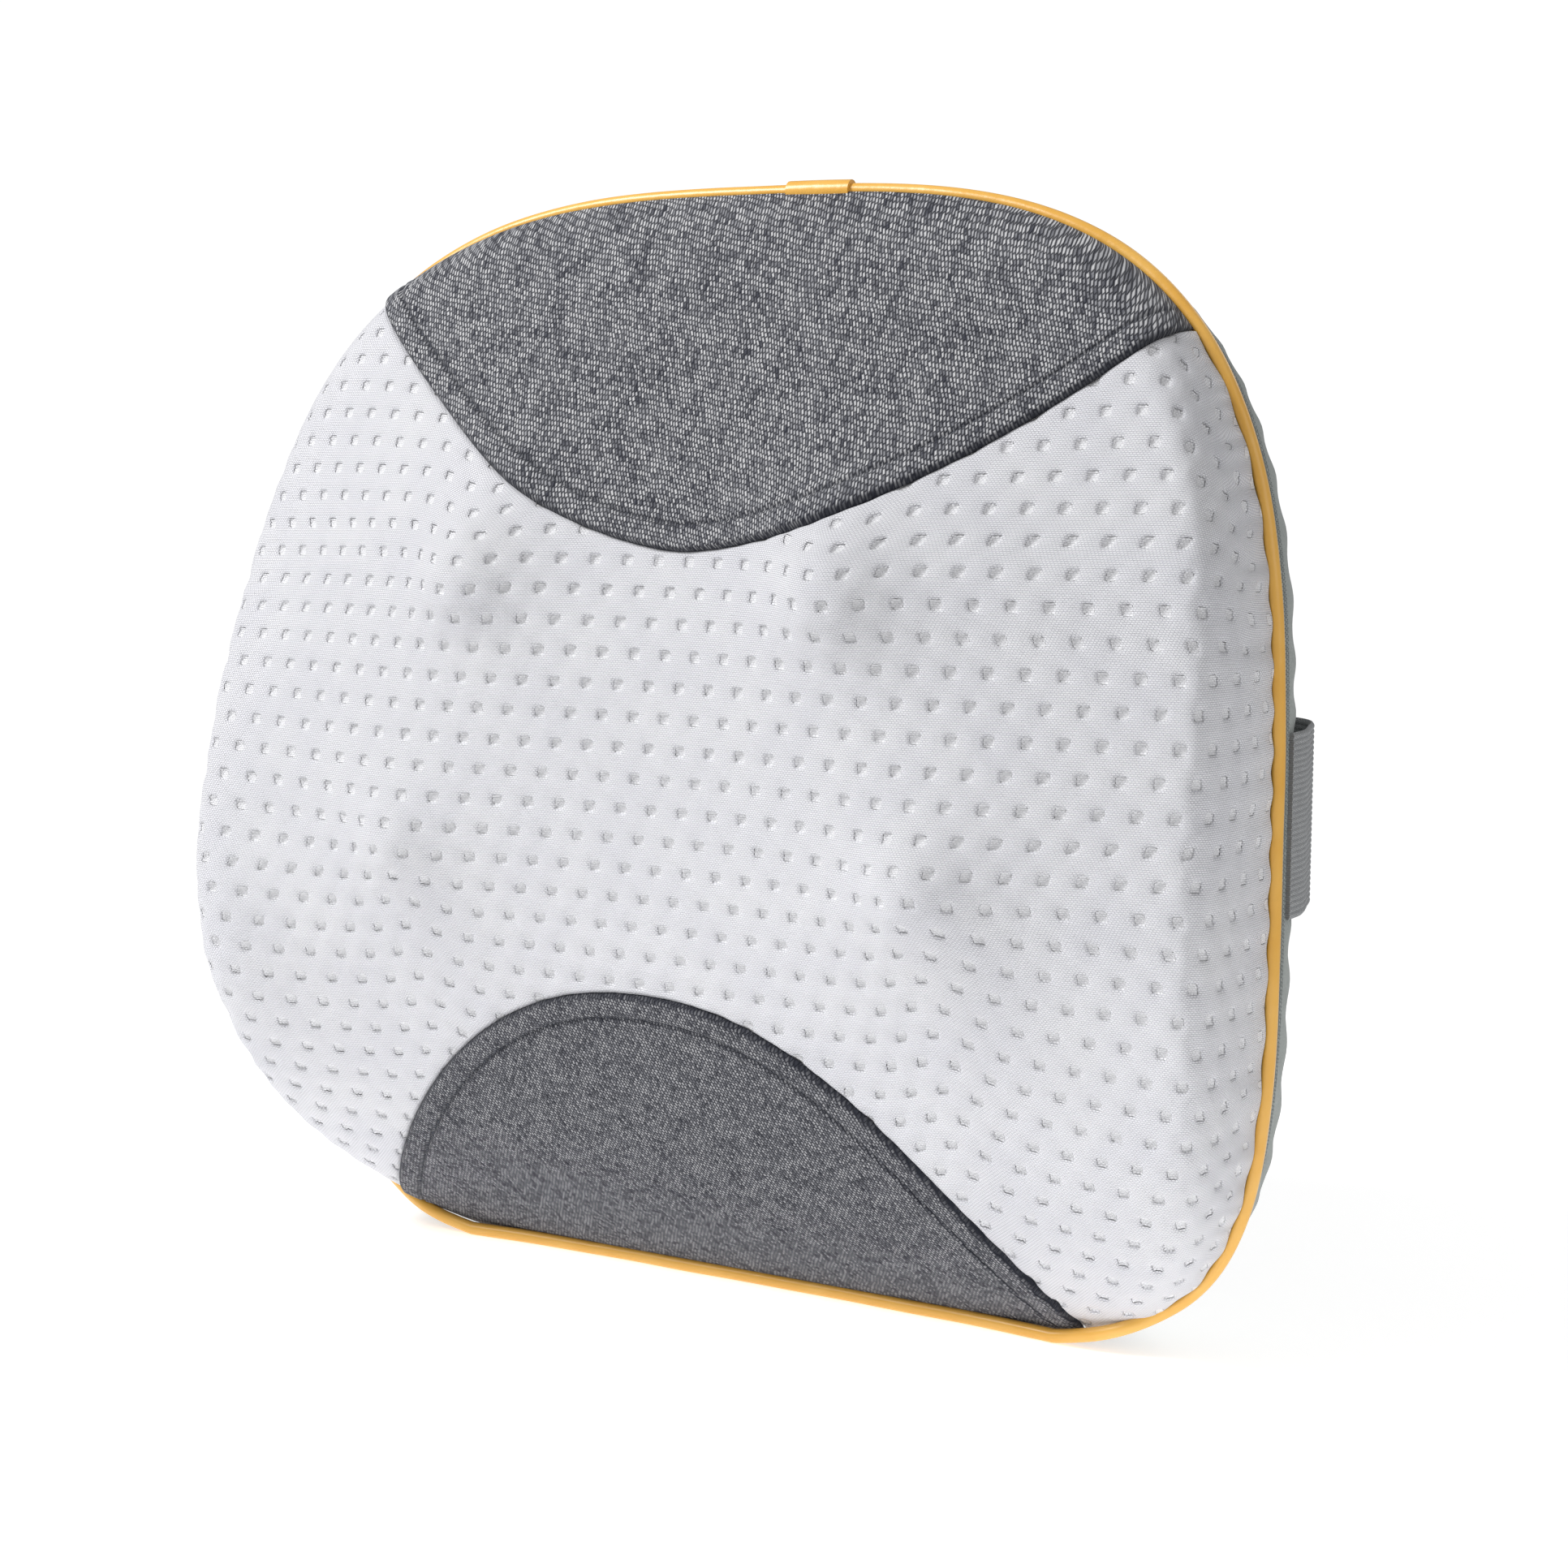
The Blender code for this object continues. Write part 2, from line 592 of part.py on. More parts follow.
def make_strap():
    bm = bmesh.new()
    low = STRAP_HEIGHT - STRAP_WIDTH / 2
    route = strap_route(0) + list(reversed(strap_route(STRAP_THICKNESS)))
    face = bm.faces.new(ring_of(bm, [(x, y, low) for x, y in route]))
    swept = bmesh.ops.extrude_face_region(bm, geom=[face])
    moved = [item for item in swept["geom"] if isinstance(item, bmesh.types.BMVert)]
    bmesh.ops.translate(bm, vec=(0, 0, STRAP_WIDTH), verts=moved)
    add_object("elastic_strap", bm, ((0.25, 0.26, 0.27), 0.9))


# -------------------------------------------------------------------- the core
def side_fittings():
    """Height and through-hole radius of each fitting in the left side of the back."""
    return ((BUTTON_HEIGHT, BUTTON_RADIUS + GAP + 0.0015), (SOCKET_HEIGHT, SOCKET_RADIUS))


def side_fitting_place(height):
    """A point on the back cover near its left edge, and the outward direction there."""
    half_width, half_height, power = outline_half_sizes(height, BACK_COVER_INSET)
    rise = (abs(height - WIDEST_HEIGHT) / half_height) ** power
    x = SIDE_FITTING_INSET - half_width * (1 - rise) ** (1 / power)
    step = 0.001
    near = back_y(x - step, height, BACK_COVER_INSET)
    far = back_y(x + step, height, BACK_COVER_INSET)
    axis = Vector((near - far, 2 * step, 0)).normalized()
    return Vector((x, (near + far) / 2, height)), axis


def screw_posts():
    """Where the shell halves are screwed together."""
    return ((-0.1235, 0.0625), (0.1235, 0.0625), (-0.0985, 0.2695), (0.0985, 0.2695))


def opening_outline():
    """Stadium round the sweep of both arms, one point for each point of the outline."""
    sweep = ARM_RADIUS + HEAD_RADIUS + 0.004
    points = []
    for x, z in outline(0, 0):
        angle = math.atan2(z - ARM_Z, x)
        direction = (math.cos(angle), math.sin(angle))
        low, high = 0.0, WIDTH
        for _ in range(40):
            middle = (low + high) / 2
            px, pz = middle * direction[0], middle * direction[1]
            outside = math.hypot(max(abs(px) - ARM_X, 0), pz) > sweep
            low, high = (low, middle) if outside else (middle, high)
        points.append((low * direction[0], ARM_Z + low * direction[1]))
    return points


def make_front_shell():
    finish = ((0.62, 0.62, 0.62), 0.5)
    made = skin(
        "front_shell", finish, front_y, front_rim, FRONT_SHELL_INSET, SHELL_THICKNESS,
        FRONT_SHELL_INSET, (0.15, 0.40, 1.0), hole=opening_outline(),
    )
    for i, (x, z) in enumerate(screw_posts()):
        front = front_y(x, z, FRONT_SHELL_INSET) + SHELL_THICKNESS / 2
        end = post_end(x, z)
        post = rod(f"post {i}", POST_RADIUS, front, end, (x, 0, z), (0, 1, 0))
        cut(made, post, "UNION", "MANIFOLD")
        hole = rod(f"post hole {i}", SCREW_RADIUS + GAP, end - 0.011, end + 0.01, (x, 0, z), (0, 1, 0))
        cut(made, hole, solver="MANIFOLD")


def boss_end(x, z):
    """The furthest back that a screw boss can reach without passing the shell's outside."""
    inset = REAR_SHELL_INSET + 3 * GAP
    reach = [back_y(x + dx * BOSS_RADIUS, z + dz * BOSS_RADIUS, inset) for dx in (-1, 0, 1) for dz in (-1, 0, 1)]
    return min(reach)


def post_end(x, z):
    return back_y(x, z, REAR_SHELL_INSET) - 0.010


def board_posts():
    """The four corners that the circuit board rests on."""
    reach_x = BOARD_SIZE[0] / 2 - BOARD_POST_RADIUS
    reach_z = BOARD_SIZE[1] / 2 - BOARD_POST_RADIUS
    x, z = BOARD_CENTRE
    return [(x + i * reach_x, z + k * reach_z) for i in (-1, 1) for k in (-1, 1)]


def make_rear_shell():
    finish = ((0.62, 0.62, 0.62), 0.5)
    made = skin(
        "rear_shell", finish, back_y, back_rim, REAR_SHELL_INSET, SHELL_THICKNESS,
        REAR_SHELL_FLOOR, BACK_RINGS, lip_inset=FRONT_SHELL_INSET,
    )
    for i, (x, z) in enumerate(screw_posts()):
        start = post_end(x, z) + GAP
        boss = rod(f"boss {i}", BOSS_RADIUS, start, boss_end(x, z), (x, 0, z), (0, 1, 0))
        cut(made, boss, "UNION", "MANIFOLD")
    for i, (x, z) in enumerate(screw_posts()):
        way, sink = SCREW_RADIUS + GAP, SCREW_HEAD_RADIUS + GAP
        seat, end = BOSS_FLOOR, 0.030
        profile = [(0, -end), (way, -end), (way, seat), (sink, seat), (sink, end), (0, end)]
        place = (x, post_end(x, z) + GAP, z)
        cut(made, turned(f"screw way {i}", profile, None, place, (0, 1, 0), 12), solver="MANIFOLD")
    board_rear = SHELL_INNER_Y - BOARD_STAND_OFF + BOARD_THICKNESS / 2 + GAP
    for i, (x, z) in enumerate(board_posts()):
        stand = rod(f"board post {i}", BOARD_POST_RADIUS, board_rear, SHELL_INNER_Y + 0.001, (x, 0, z), (0, 1, 0))
        cut(made, stand, "UNION", "MANIFOLD")
    for height, radius in side_fittings():
        place, axis = side_fitting_place(height)
        cut(made, rod(f"shell hole {height}", radius + GAP, -0.02, 0.02, place, axis, steps=24), solver="MANIFOLD")


def screw(name, place, axis, length, head_radius=SCREW_HEAD_RADIUS, parent=None):
    """Head underside at place; the shank runs along axis."""
    profile = [
        (0, -SCREW_HEAD_HEIGHT), (head_radius, -SCREW_HEAD_HEIGHT), (head_radius, 0),
        (SCREW_RADIUS, 0), (SCREW_RADIUS, length), (0, length),
    ]
    return turned(name, profile, ((0.55, 0.55, 0.56), 0.35, 1.0), place, axis, 8, parent)


def make_shell_screws():
    for i, (x, z) in enumerate(screw_posts()):
        seat = post_end(x, z) + 2 * GAP + BOSS_FLOOR
        screw(f"shell_screw_{i + 1}", (x, seat, z), (0, -1, 0), 0.012)


# ----------------------------------------------------------------- the gearbox
def wheel_mesh(hand):
    """A helical gear about Y; a gap between two teeth points straight down."""
    tip = WHEEL_TIP_RADIUS - GAP
    root = WHEEL_PITCH_RADIUS - 1.25 * TOOTH_MODULE
    bore = ARM_SHAFT_RADIUS + GAP
    pitch_angle = 2 * math.pi / WHEEL_TEETH
    tooth = (math.pi * TOOTH_MODULE / 2 - TOOTH_BACKLASH) / WHEEL_PITCH_RADIUS
    lead = TOOTH_MODULE / (2 * WORM_PITCH_RADIUS)
    bm = bmesh.new()
    outer, inner = [], []
    for y in (-WHEEL_WIDTH / 2, WHEEL_WIDTH / 2):
        twist = hand * y * lead / WHEEL_PITCH_RADIUS
        points = []
        for i in range(WHEEL_TEETH):
            centre = -math.pi / 2 + pitch_angle * (i + 0.5)
            for radius, share in ((root, -0.85), (tip, -0.32), (tip, 0.32), (root, 0.85)):
                # A turn about +Y carries the underside towards -X.
                angle = centre + share * tooth - twist
                points.append((radius * math.cos(angle), y, radius * math.sin(angle)))
        outer.append(ring_of(bm, points))
    for y in (-WHEEL_WIDTH / 2, WHEEL_WIDTH / 2):
        points = []
        for i in range(4 * WHEEL_TEETH):
            angle = -math.pi / 2 + pitch_angle * (i + 0.5) / 4
            points.append((bore * math.cos(angle), y, bore * math.sin(angle)))
        inner.append(ring_of(bm, points))
    join_rings(bm, outer[0], outer[1])
    join_rings(bm, outer[1], inner[1])
    join_rings(bm, inner[1], inner[0])
    join_rings(bm, inner[0], outer[0])
    return bm


def worm_mesh(hand):
    """A one-start worm along X with its thread's crest straight up at x = 0."""
    tip = WORM_PITCH_RADIUS + TOOTH_MODULE - GAP
    root = WORM_PITCH_RADIUS - 1.25 * TOOTH_MODULE
    pitch = math.pi * TOOTH_MODULE
    half = (pitch / 2 - TOOTH_BACKLASH) / 2
    steps = 12
    turns = WORM_LENGTH / pitch - 1.2
    count = int(turns * steps)
    bm = bmesh.new()
    # Each flank runs straight on into the core. Widths are in halves of the thread's width.
    sunk = root - 0.0006
    section = ((sunk, -1.875), (tip, -0.64), (tip, 0.64), (sunk, 1.875))
    loops = []
    for i in range(count + 1):
        turn = 2 * math.pi * (i - count / 2) / steps
        angle = math.pi / 2 + hand * turn
        x = pitch * turn / (2 * math.pi)
        ring = []
        for radius, share in section:
            ring.append((x + share * half, radius * math.cos(angle), radius * math.sin(angle)))
        loops.append(ring_of(bm, ring))
    for first, second in zip(loops, loops[1:]):
        join_rings(bm, first, second)
    bm.faces.new(loops[0])
    bm.faces.new(loops[-1])
    return bm


def make_worm(name, x, hand, parent):
    finish = ((0.62, 0.60, 0.55), 0.35, 1.0)
    core = WORM_PITCH_RADIUS - 1.25 * TOOTH_MODULE
    bore = MOTOR_SHAFT_RADIUS + GAP
    half = WORM_LENGTH / 2
    profile = [(bore, -half), (core, -half), (core, half), (bore, half)]
    made = turned(name, profile, finish, (x, 0, 0), (1, 0, 0), 14, parent)
    thread = add_object(f"{name} thread", worm_mesh(hand), None, parent)
    thread.location = (x, 0, 0)
    cut(made, thread, "UNION")
    return made


def case_region(name, low, high, finish):
    """Two wheel cups joined by the motor's bay, seen from the front, trimmed to a slab."""
    spare = 0.001
    steps = 24
    low_end, high_end = low - spare, high + spare
    up = (0, 1, 0)
    made = rod(name, CASE_CUP_RADIUS, low_end, high_end, (-ARM_X, 0, ARM_Z), up, finish, None, steps)
    reach = (low_end - spare, high_end + spare)
    right = rod(f"{name} right", CASE_CUP_RADIUS, *reach, (ARM_X, 0, ARM_Z), up, None, None, steps)
    cut(made, right, "UNION")
    bay_low = MOTOR_Z - MOTOR_RADIUS - GAP - CASE_RIM
    bay_high = MOTOR_Z + MOTOR_RADIUS + GAP + CASE_RIM
    bay_depth = high - low + 6 * spare
    bay = box(
        f"{name} bay", (0, (low + high) / 2, (bay_low + bay_high) / 2),
        (2 * ARM_X + BAY_SPARE, bay_depth, bay_high - bay_low),
    )
    cut(made, bay, "UNION")
    for i, (x, z) in enumerate(case_screws()):
        ear_spare = (4 + i) * spare
        ear = rod(f"{name} ear {i}", POST_RADIUS, low - ear_spare, high + ear_spare, (x, 0, z), up)
        cut(made, ear, "UNION")
    slab = box(f"{name} slab", (0, (low + high) / 2, ARM_Z), (WIDTH, high - low, HEIGHT))
    cut(made, slab, "INTERSECT")
    return made


def case_screws():
    top = ARM_Z + CASE_CUP_RADIUS + SCREW_RADIUS + GAP
    low = MOTOR_Z - MOTOR_RADIUS - CASE_RIM
    return ((-ARM_X, top), (ARM_X, top), (-0.045, low), (0.045, low))


def make_gear_case():
    made = case_region("gear_case", CASE_FRONT_Y, CASE_REAR_Y, ((0.08, 0.08, 0.09), 0.5))
    wheel_floor = MOTOR_Y + WHEEL_WIDTH / 2 + CASE_FLOOR_GAP
    front = CASE_FRONT_Y - 0.01
    for side in (-1, 1):
        place = (side * ARM_X, 0, ARM_Z)
        cut(made, rod(f"cup {side}", WHEEL_TIP_RADIUS + 2 * GAP, front, wheel_floor, place, (0, 1, 0), None, None, 24))
        cut(made, rod(f"shaft pocket {side}", ARM_SHAFT_RADIUS + GAP, front, wheel_floor + 0.006, place, (0, 1, 0)))
    worm_room = WORM_PITCH_RADIUS + TOOTH_MODULE + 2 * GAP
    tunnel_high = MOTOR_Y + worm_room
    cut(made, box(
        "worm tunnel", (0, (front + tunnel_high) / 2, MOTOR_Z),
        (2 * ARM_X + WORM_LENGTH + 4 * GAP, tunnel_high - front, 2 * worm_room),
    ))
    cut(made, box(
        "motor bay front", (0, (front + MOTOR_Y) / 2, MOTOR_Z),
        (MOTOR_LENGTH + 4 * GAP, MOTOR_Y - front, 2 * (MOTOR_RADIUS + GAP)),
    ))
    half = MOTOR_LENGTH / 2 + 2 * GAP
    cut(made, rod("motor bay", MOTOR_RADIUS + GAP, -half, half, (0, MOTOR_Y, MOTOR_Z), (1, 0, 0), None, None, 24))
    for i, (x, z) in enumerate(case_screws()):
        hole = rod(f"case hole {i}", SCREW_RADIUS + GAP, front, CASE_FRONT_Y + 0.010, (x, 0, z), (0, 1, 0))
        cut(made, hole)


def make_gear_cover():
    made = case_region("gear_cover", COVER_FRONT_Y, COVER_REAR_Y, ((0.10, 0.10, 0.11), 0.5))
    bush_radius = ARM_SHAFT_RADIUS + AXLE_GAP + BUSH_WALL
    for side in (-1, 1):
        place = (side * ARM_X, 0, ARM_Z)
        low = COVER_FRONT_Y - 0.01
        cut(made, rod(f"bush seat {side}", bush_radius + GAP, low, COVER_REAR_Y + 0.01, place, (0, 1, 0)))
    for i, (x, z) in enumerate(case_screws()):
        hole = rod(f"cover hole {i}", SCREW_RADIUS + GAP, COVER_FRONT_Y - 0.01, COVER_REAR_Y + 0.01, (x, 0, z), (0, 1, 0))
        cut(made, hole)
        screw(f"gear_cover_screw_{i + 1}", (x, COVER_FRONT_Y - GAP, z), (0, 1, 0), 0.010)


def make_bushes():
    finish = ((0.60, 0.45, 0.20), 0.4, 1.0)
    bore = ARM_SHAFT_RADIUS + AXLE_GAP
    outer = bore + BUSH_WALL
    flange = outer + 0.002
    flange_thickness = 0.001
    for side, word in ((-1, "left"), (1, "right")):
        profile = [
            (bore, -flange_thickness), (flange, -flange_thickness), (flange, 0), (outer, 0),
            (outer, COVER_PLATE + GAP), (bore, COVER_PLATE + GAP),
        ]
        place = (side * ARM_X, COVER_FRONT_Y - GAP, ARM_Z)
        turned(f"{word}_shaft_bush", profile, finish, place, (0, 1, 0), 16)


def make_motor():
    bore = MOTOR_SHAFT_RADIUS + GAP
    half = MOTOR_LENGTH / 2
    neck = half - 0.003
    profile = [
        (bore, -half), (0.006, -half), (0.006, -neck), (MOTOR_RADIUS, -neck),
        (MOTOR_RADIUS, neck), (0.006, neck), (0.006, half), (bore, half),
    ]
    place = (0, MOTOR_Y, MOTOR_Z)
    turned("motor", profile, ((0.50, 0.50, 0.51), 0.4, 1.0), place, (1, 0, 0), 24)


def make_rotor():
    turn = add_empty("rotor axis", (0, MOTOR_Y, MOTOR_Z))
    half = ARM_X + WORM_LENGTH / 2 - GAP
    rod("motor_shaft", MOTOR_SHAFT_RADIUS, -half, half, (0, 0, 0), (1, 0, 0), ((0.6, 0.6, 0.6), 0.3, 1.0), turn, 12)
    make_worm("left_worm", -ARM_X, 1, turn)
    make_worm("right_worm", ARM_X, -1, turn)


def capsule(length, hub_radius, end_radius):
    """Outline of an arm: a round hub and two round ends, joined by tangent lines."""
    lean = math.asin((hub_radius - end_radius) / length)
    points = []
    arc_steps = 8
    for base, centre, radius in (
        (0, (0, length), end_radius), (math.pi, (0, -length), end_radius),
    ):
        start = base + lean
        sweep = math.pi - 2 * lean
        for i in range(arc_steps + 1):
            angle = start + sweep * i / arc_steps
            points.append((centre[0] + radius * math.cos(angle), centre[1] + radius * math.sin(angle)))
        side = base + math.pi
        for angle in (side - lean, side, side + lean):
            points.append((hub_radius * math.cos(angle), hub_radius * math.sin(angle)))
    return points


def make_arm(side, word):
    """An arm about its shaft, with a stub axle and a free-turning head at each end."""
    arm_finish = ((0.12, 0.12, 0.13), 0.45)
    head_finish = ((0.55, 0.10, 0.04), 0.4)
    turn = add_empty(f"{word} arm axis", (side * ARM_X, 0, ARM_Z))
    tilt = math.radians(ARM_TILT) * side
    plate_outline = []
    for x, z in capsule(ARM_RADIUS, ARM_HUB_RADIUS, ARM_END_RADIUS):
        plate_outline.append((
            x * math.cos(tilt) - z * math.sin(tilt), x * math.sin(tilt) + z * math.cos(tilt),
        ))
    arm = prism(f"{word}_arm", plate_outline, ARM_FRONT_Y, ARM_BACK_Y, arm_finish, turn)
    shaft_bore = rod(f"{word} arm bore", ARM_SHAFT_RADIUS + GAP, ARM_FRONT_Y + 0.002, ARM_BACK_Y + 0.01, (0, 0, 0), (0, 1, 0), None, turn)
    cut(arm, shaft_bore)
    wheel_floor = MOTOR_Y + WHEEL_WIDTH / 2 + CASE_FLOOR_GAP
    shaft = rod(
        f"{word}_arm_shaft", ARM_SHAFT_RADIUS, ARM_FRONT_Y + 0.002 + GAP, wheel_floor + 0.006 - GAP,
        (0, 0, 0), (0, 1, 0), ((0.6, 0.6, 0.6), 0.3, 1.0), turn, 16,
    )
    wheel = add_object(f"{word}_worm_wheel", wheel_mesh(-side), ((0.75, 0.72, 0.62), 0.5), turn)
    wheel.location = (0, MOTOR_Y, 0)
    for end, level in ((1, "upper"), (-1, "lower")):
        x = -math.sin(tilt) * ARM_RADIUS * end
        z = math.cos(tilt) * ARM_RADIUS * end
        axle_top = HEAD_TOP_Y + HEAD_RECESS + GAP
        axle = rod(f"{word} {level} axle", HEAD_AXLE_RADIUS, axle_top, ARM_BACK_Y - 0.001, (x, 0, z), (0, 1, 0), None, turn)
        cut(arm, axle, "UNION")
        tapped = rod(f"{word} {level} tap", SCREW_RADIUS + GAP, axle_top - 0.001, axle_top + 0.010, (x, 0, z), (0, 1, 0), None, turn)
        cut(arm, tapped)
        depth = HEAD_HEIGHT
        profile = [(HEAD_BORE, depth), (HEAD_BORE, HEAD_RECESS), (0.0066, HEAD_RECESS)]
        dome_steps = 4
        start = math.asin(0.0066 / HEAD_RADIUS)
        for i in range(dome_steps + 1):
            angle = start + (math.pi / 2 - start) * i / dome_steps
            profile.append((HEAD_RADIUS * math.sin(angle), 0.014 * (1 - math.cos(angle))))
        profile.append((HEAD_RADIUS, depth - 0.003))
        profile.append((HEAD_RADIUS - 0.002, depth))
        head = turned(
            f"{word}_{level}_head", profile, head_finish, (x, HEAD_TOP_Y, z), (0, 1, 0), 18, turn, 50,
        )
        screw(f"{word}_{level}_head_screw", (x, HEAD_TOP_Y + HEAD_RECESS - GAP, z), (0, 1, 0), 0.009, 0.0052, turn)


def make_bracket():
    finish = ((0.5, 0.5, 0.5), 0.4, 1.0)
    half_x = ARM_X + CASE_CUP_RADIUS
    low = MOTOR_Z - MOTOR_RADIUS - CASE_RIM
    high = ARM_Z + CASE_CUP_RADIUS
    box(
        "gearbox_bracket", (0, BRACKET_Y + BRACKET_THICKNESS / 2, (low + high) / 2),
        (2 * half_x, BRACKET_THICKNESS, high - low), finish,
    )


def make_controls():
    place, axis = side_fitting_place(BUTTON_HEIGHT)
    bore = BUTTON_RADIUS + GAP
    wall = bore + 0.0015
    flange = wall + 0.0025
    flange_low = GAP + 0.0006
    profile = [
        (bore, -0.010), (wall, -0.010), (wall, flange_low), (flange, flange_low),
        (flange, flange_low + 0.0012), (bore, flange_low + 0.0012),
    ]
    turned("button_bezel", profile, ((0.20, 0.21, 0.21), 0.4), place, axis, 24)
    profile = [
        (0, -0.0050), (BUTTON_RADIUS, -0.0050), (BUTTON_RADIUS, 0.0030),
        (BUTTON_RADIUS - 0.001, 0.0040), (0, 0.0044),
    ]
    turned("power_button", profile, ((0.70, 0.70, 0.72), 0.35), place, axis, 24)
    base = -0.0050 - BUTTON_TRAVEL - 2 * GAP
    profile = [
        (0, base - 0.0035), (BUTTON_RADIUS, base - 0.0035), (BUTTON_RADIUS, base - 0.0015),
        (0.0015, base - 0.0015), (0.0015, base), (0, base),
    ]
    turned("button_switch", profile, ((0.05, 0.05, 0.05), 0.5), place, axis, 12)
    place, axis = side_fitting_place(SOCKET_HEIGHT)
    profile = [
        (0, -SOCKET_DEPTH - 0.002), (SOCKET_RADIUS, -SOCKET_DEPTH - 0.002), (SOCKET_RADIUS, flange_low),
        (SOCKET_RADIUS + 0.002, flange_low), (SOCKET_RADIUS + 0.002, flange_low + 0.0012),
        (SOCKET_BORE, flange_low + 0.0012), (SOCKET_BORE, -SOCKET_DEPTH),
        (0.0010, -SOCKET_DEPTH), (0.0010, -0.002), (0, -0.002),
    ]
    turned("power_socket", profile, ((0.04, 0.04, 0.04), 0.45), place, axis, 16)
    board_y = SHELL_INNER_Y - BOARD_STAND_OFF
    box(
        "circuit_board", (BOARD_CENTRE[0], board_y, BOARD_CENTRE[1]),
        (BOARD_SIZE[0], BOARD_THICKNESS, BOARD_SIZE[1]), ((0.03, 0.18, 0.07), 0.5),
    )


def main():
    clear_scene()
    make_front_cover()
    make_liner()
    make_back_cover()
    make_piping()
    make_zip()
    make_zip_slider()
    make_strap()
    make_front_shell()
    make_rear_shell()
    make_shell_screws()
    make_bracket()
    make_gear_case()
    make_gear_cover()
    make_bushes()
    make_motor()
    make_rotor()
    make_arm(-1, "left")
    make_arm(1, "right")
    make_controls()


main()
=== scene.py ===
"""Looks of a kneading lumbar cushion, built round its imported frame.

Frame: metres, +X to the right as seen from the front, the front faces -Y, +Z up.
"""

import json
import math

import bmesh
import bpy
import numpy as np
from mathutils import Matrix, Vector


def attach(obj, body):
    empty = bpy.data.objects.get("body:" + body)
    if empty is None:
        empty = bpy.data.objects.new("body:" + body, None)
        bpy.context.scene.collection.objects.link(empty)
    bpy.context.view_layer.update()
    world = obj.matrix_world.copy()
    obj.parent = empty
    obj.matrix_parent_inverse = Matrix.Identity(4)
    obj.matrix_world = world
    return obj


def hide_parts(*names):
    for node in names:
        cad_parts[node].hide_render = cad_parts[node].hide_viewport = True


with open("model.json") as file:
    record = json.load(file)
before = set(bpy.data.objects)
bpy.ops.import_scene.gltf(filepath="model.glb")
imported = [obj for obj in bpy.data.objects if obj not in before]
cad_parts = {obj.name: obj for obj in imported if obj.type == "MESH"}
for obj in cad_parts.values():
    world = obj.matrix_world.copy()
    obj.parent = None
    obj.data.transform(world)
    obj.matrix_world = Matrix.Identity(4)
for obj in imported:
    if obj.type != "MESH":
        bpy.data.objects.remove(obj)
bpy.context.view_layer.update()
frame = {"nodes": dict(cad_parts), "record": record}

# ---- sizes of the frame
WIDTH = 0.326
HEIGHT = 0.320
WIDEST_HEIGHT = 0.154
UPPER_SQUARENESS = 3.1
LOWER_SQUARENESS = 4.5
BASE_CUT = 0.0015
SEAM_BOW = 0.015
SEAM_BOW_POWER = 3.5
SEAM_SIDE_Y = -0.005
SEAM_MIDDLE_Y = SEAM_SIDE_Y + SEAM_BOW
FACE_Y = -0.040
FACE_HEIGHT = 0.145
FACE_POWER = 3.0
SHOULDER = 0.010
BACK_Y = 0.047
BACK_SHOULDER = 0.045
BASE_SHOULDER = 0.008
BASE_BAND = 0.014
BACK_INSET = 0.0015
GAP = 0.0003
# The foam stands forward beside the lower heads and back at the upper left: x, z, how far.
FULLNESS = ((-0.150, 0.118, 0.024), (0.150, 0.122, 0.003), (-0.158, 0.250, -0.010))
FULL_WIDTH = 0.034
FULL_HEIGHT = 0.075

PIPING_RADIUS = 0.0020
PIPING_PROUD = 0.0005
PIPING_BEHIND = GAP + PIPING_RADIUS
ZIP_START = 0.0046
ZIP_TAPE_WIDTH = 0.0035
COIL_CENTRE = 0.0096
REAR_TAPE_START = 0.0111
REAR_RIM = 0.0149
ZIP_INSET = 0.0008

# The cover is sewn a little askew, so each seam has its own tips, middle and curve.
UPPER_TIPS = ((-0.1265, 0.2950), (0.1370, 0.2810))
UPPER_LOW = (0.006, 0.221)
UPPER_POWER = 1.7
LOWER_TIPS = ((-0.1265, 0.0085), (0.1080, 0.0045))
LOWER_HIGH = (-0.011, 0.0945)
LOWER_POWER = 2.2

ARM_X = 0.0713
ARM_Z = 0.184
ARM_TILT = math.radians(19.4)
ARM_RADIUS = 0.0384
HEAD_TOP_Y = -0.0405

STRAP_WIDTH = 0.050
STRAP_HEIGHT = 0.150
STRAP_THICKNESS = 0.0015


# ---- outline
def half_sizes(z, inset=0.0):
    """Half width, half height and power of the outline at each height."""
    upper = np.asarray(z) >= WIDEST_HEIGHT
    half_height = np.where(upper, HEIGHT - WIDEST_HEIGHT, WIDEST_HEIGHT + BASE_CUT)
    power = np.where(upper, UPPER_SQUARENESS, LOWER_SQUARENESS)
    return WIDTH / 2 - inset, half_height - inset, power


def outline(inset, floor, count):
    """Evenly spaced (x, z) rows round the cushion, anticlockwise from its right side."""
    angle = np.linspace(0, 2 * math.pi, 5760, endpoint=False)
    side = np.where(np.sin(angle) >= 0, 1.0, -1.0)
    width, height, power = half_sizes(WIDEST_HEIGHT + side, inset)
    x = np.sign(np.cos(angle)) * width * np.abs(np.cos(angle)) ** (2 / power)
    z = WIDEST_HEIGHT + side * height * np.abs(np.sin(angle)) ** (2 / power)
    return resample(np.stack([x, z], 1), count, closed=True, floor=floor)


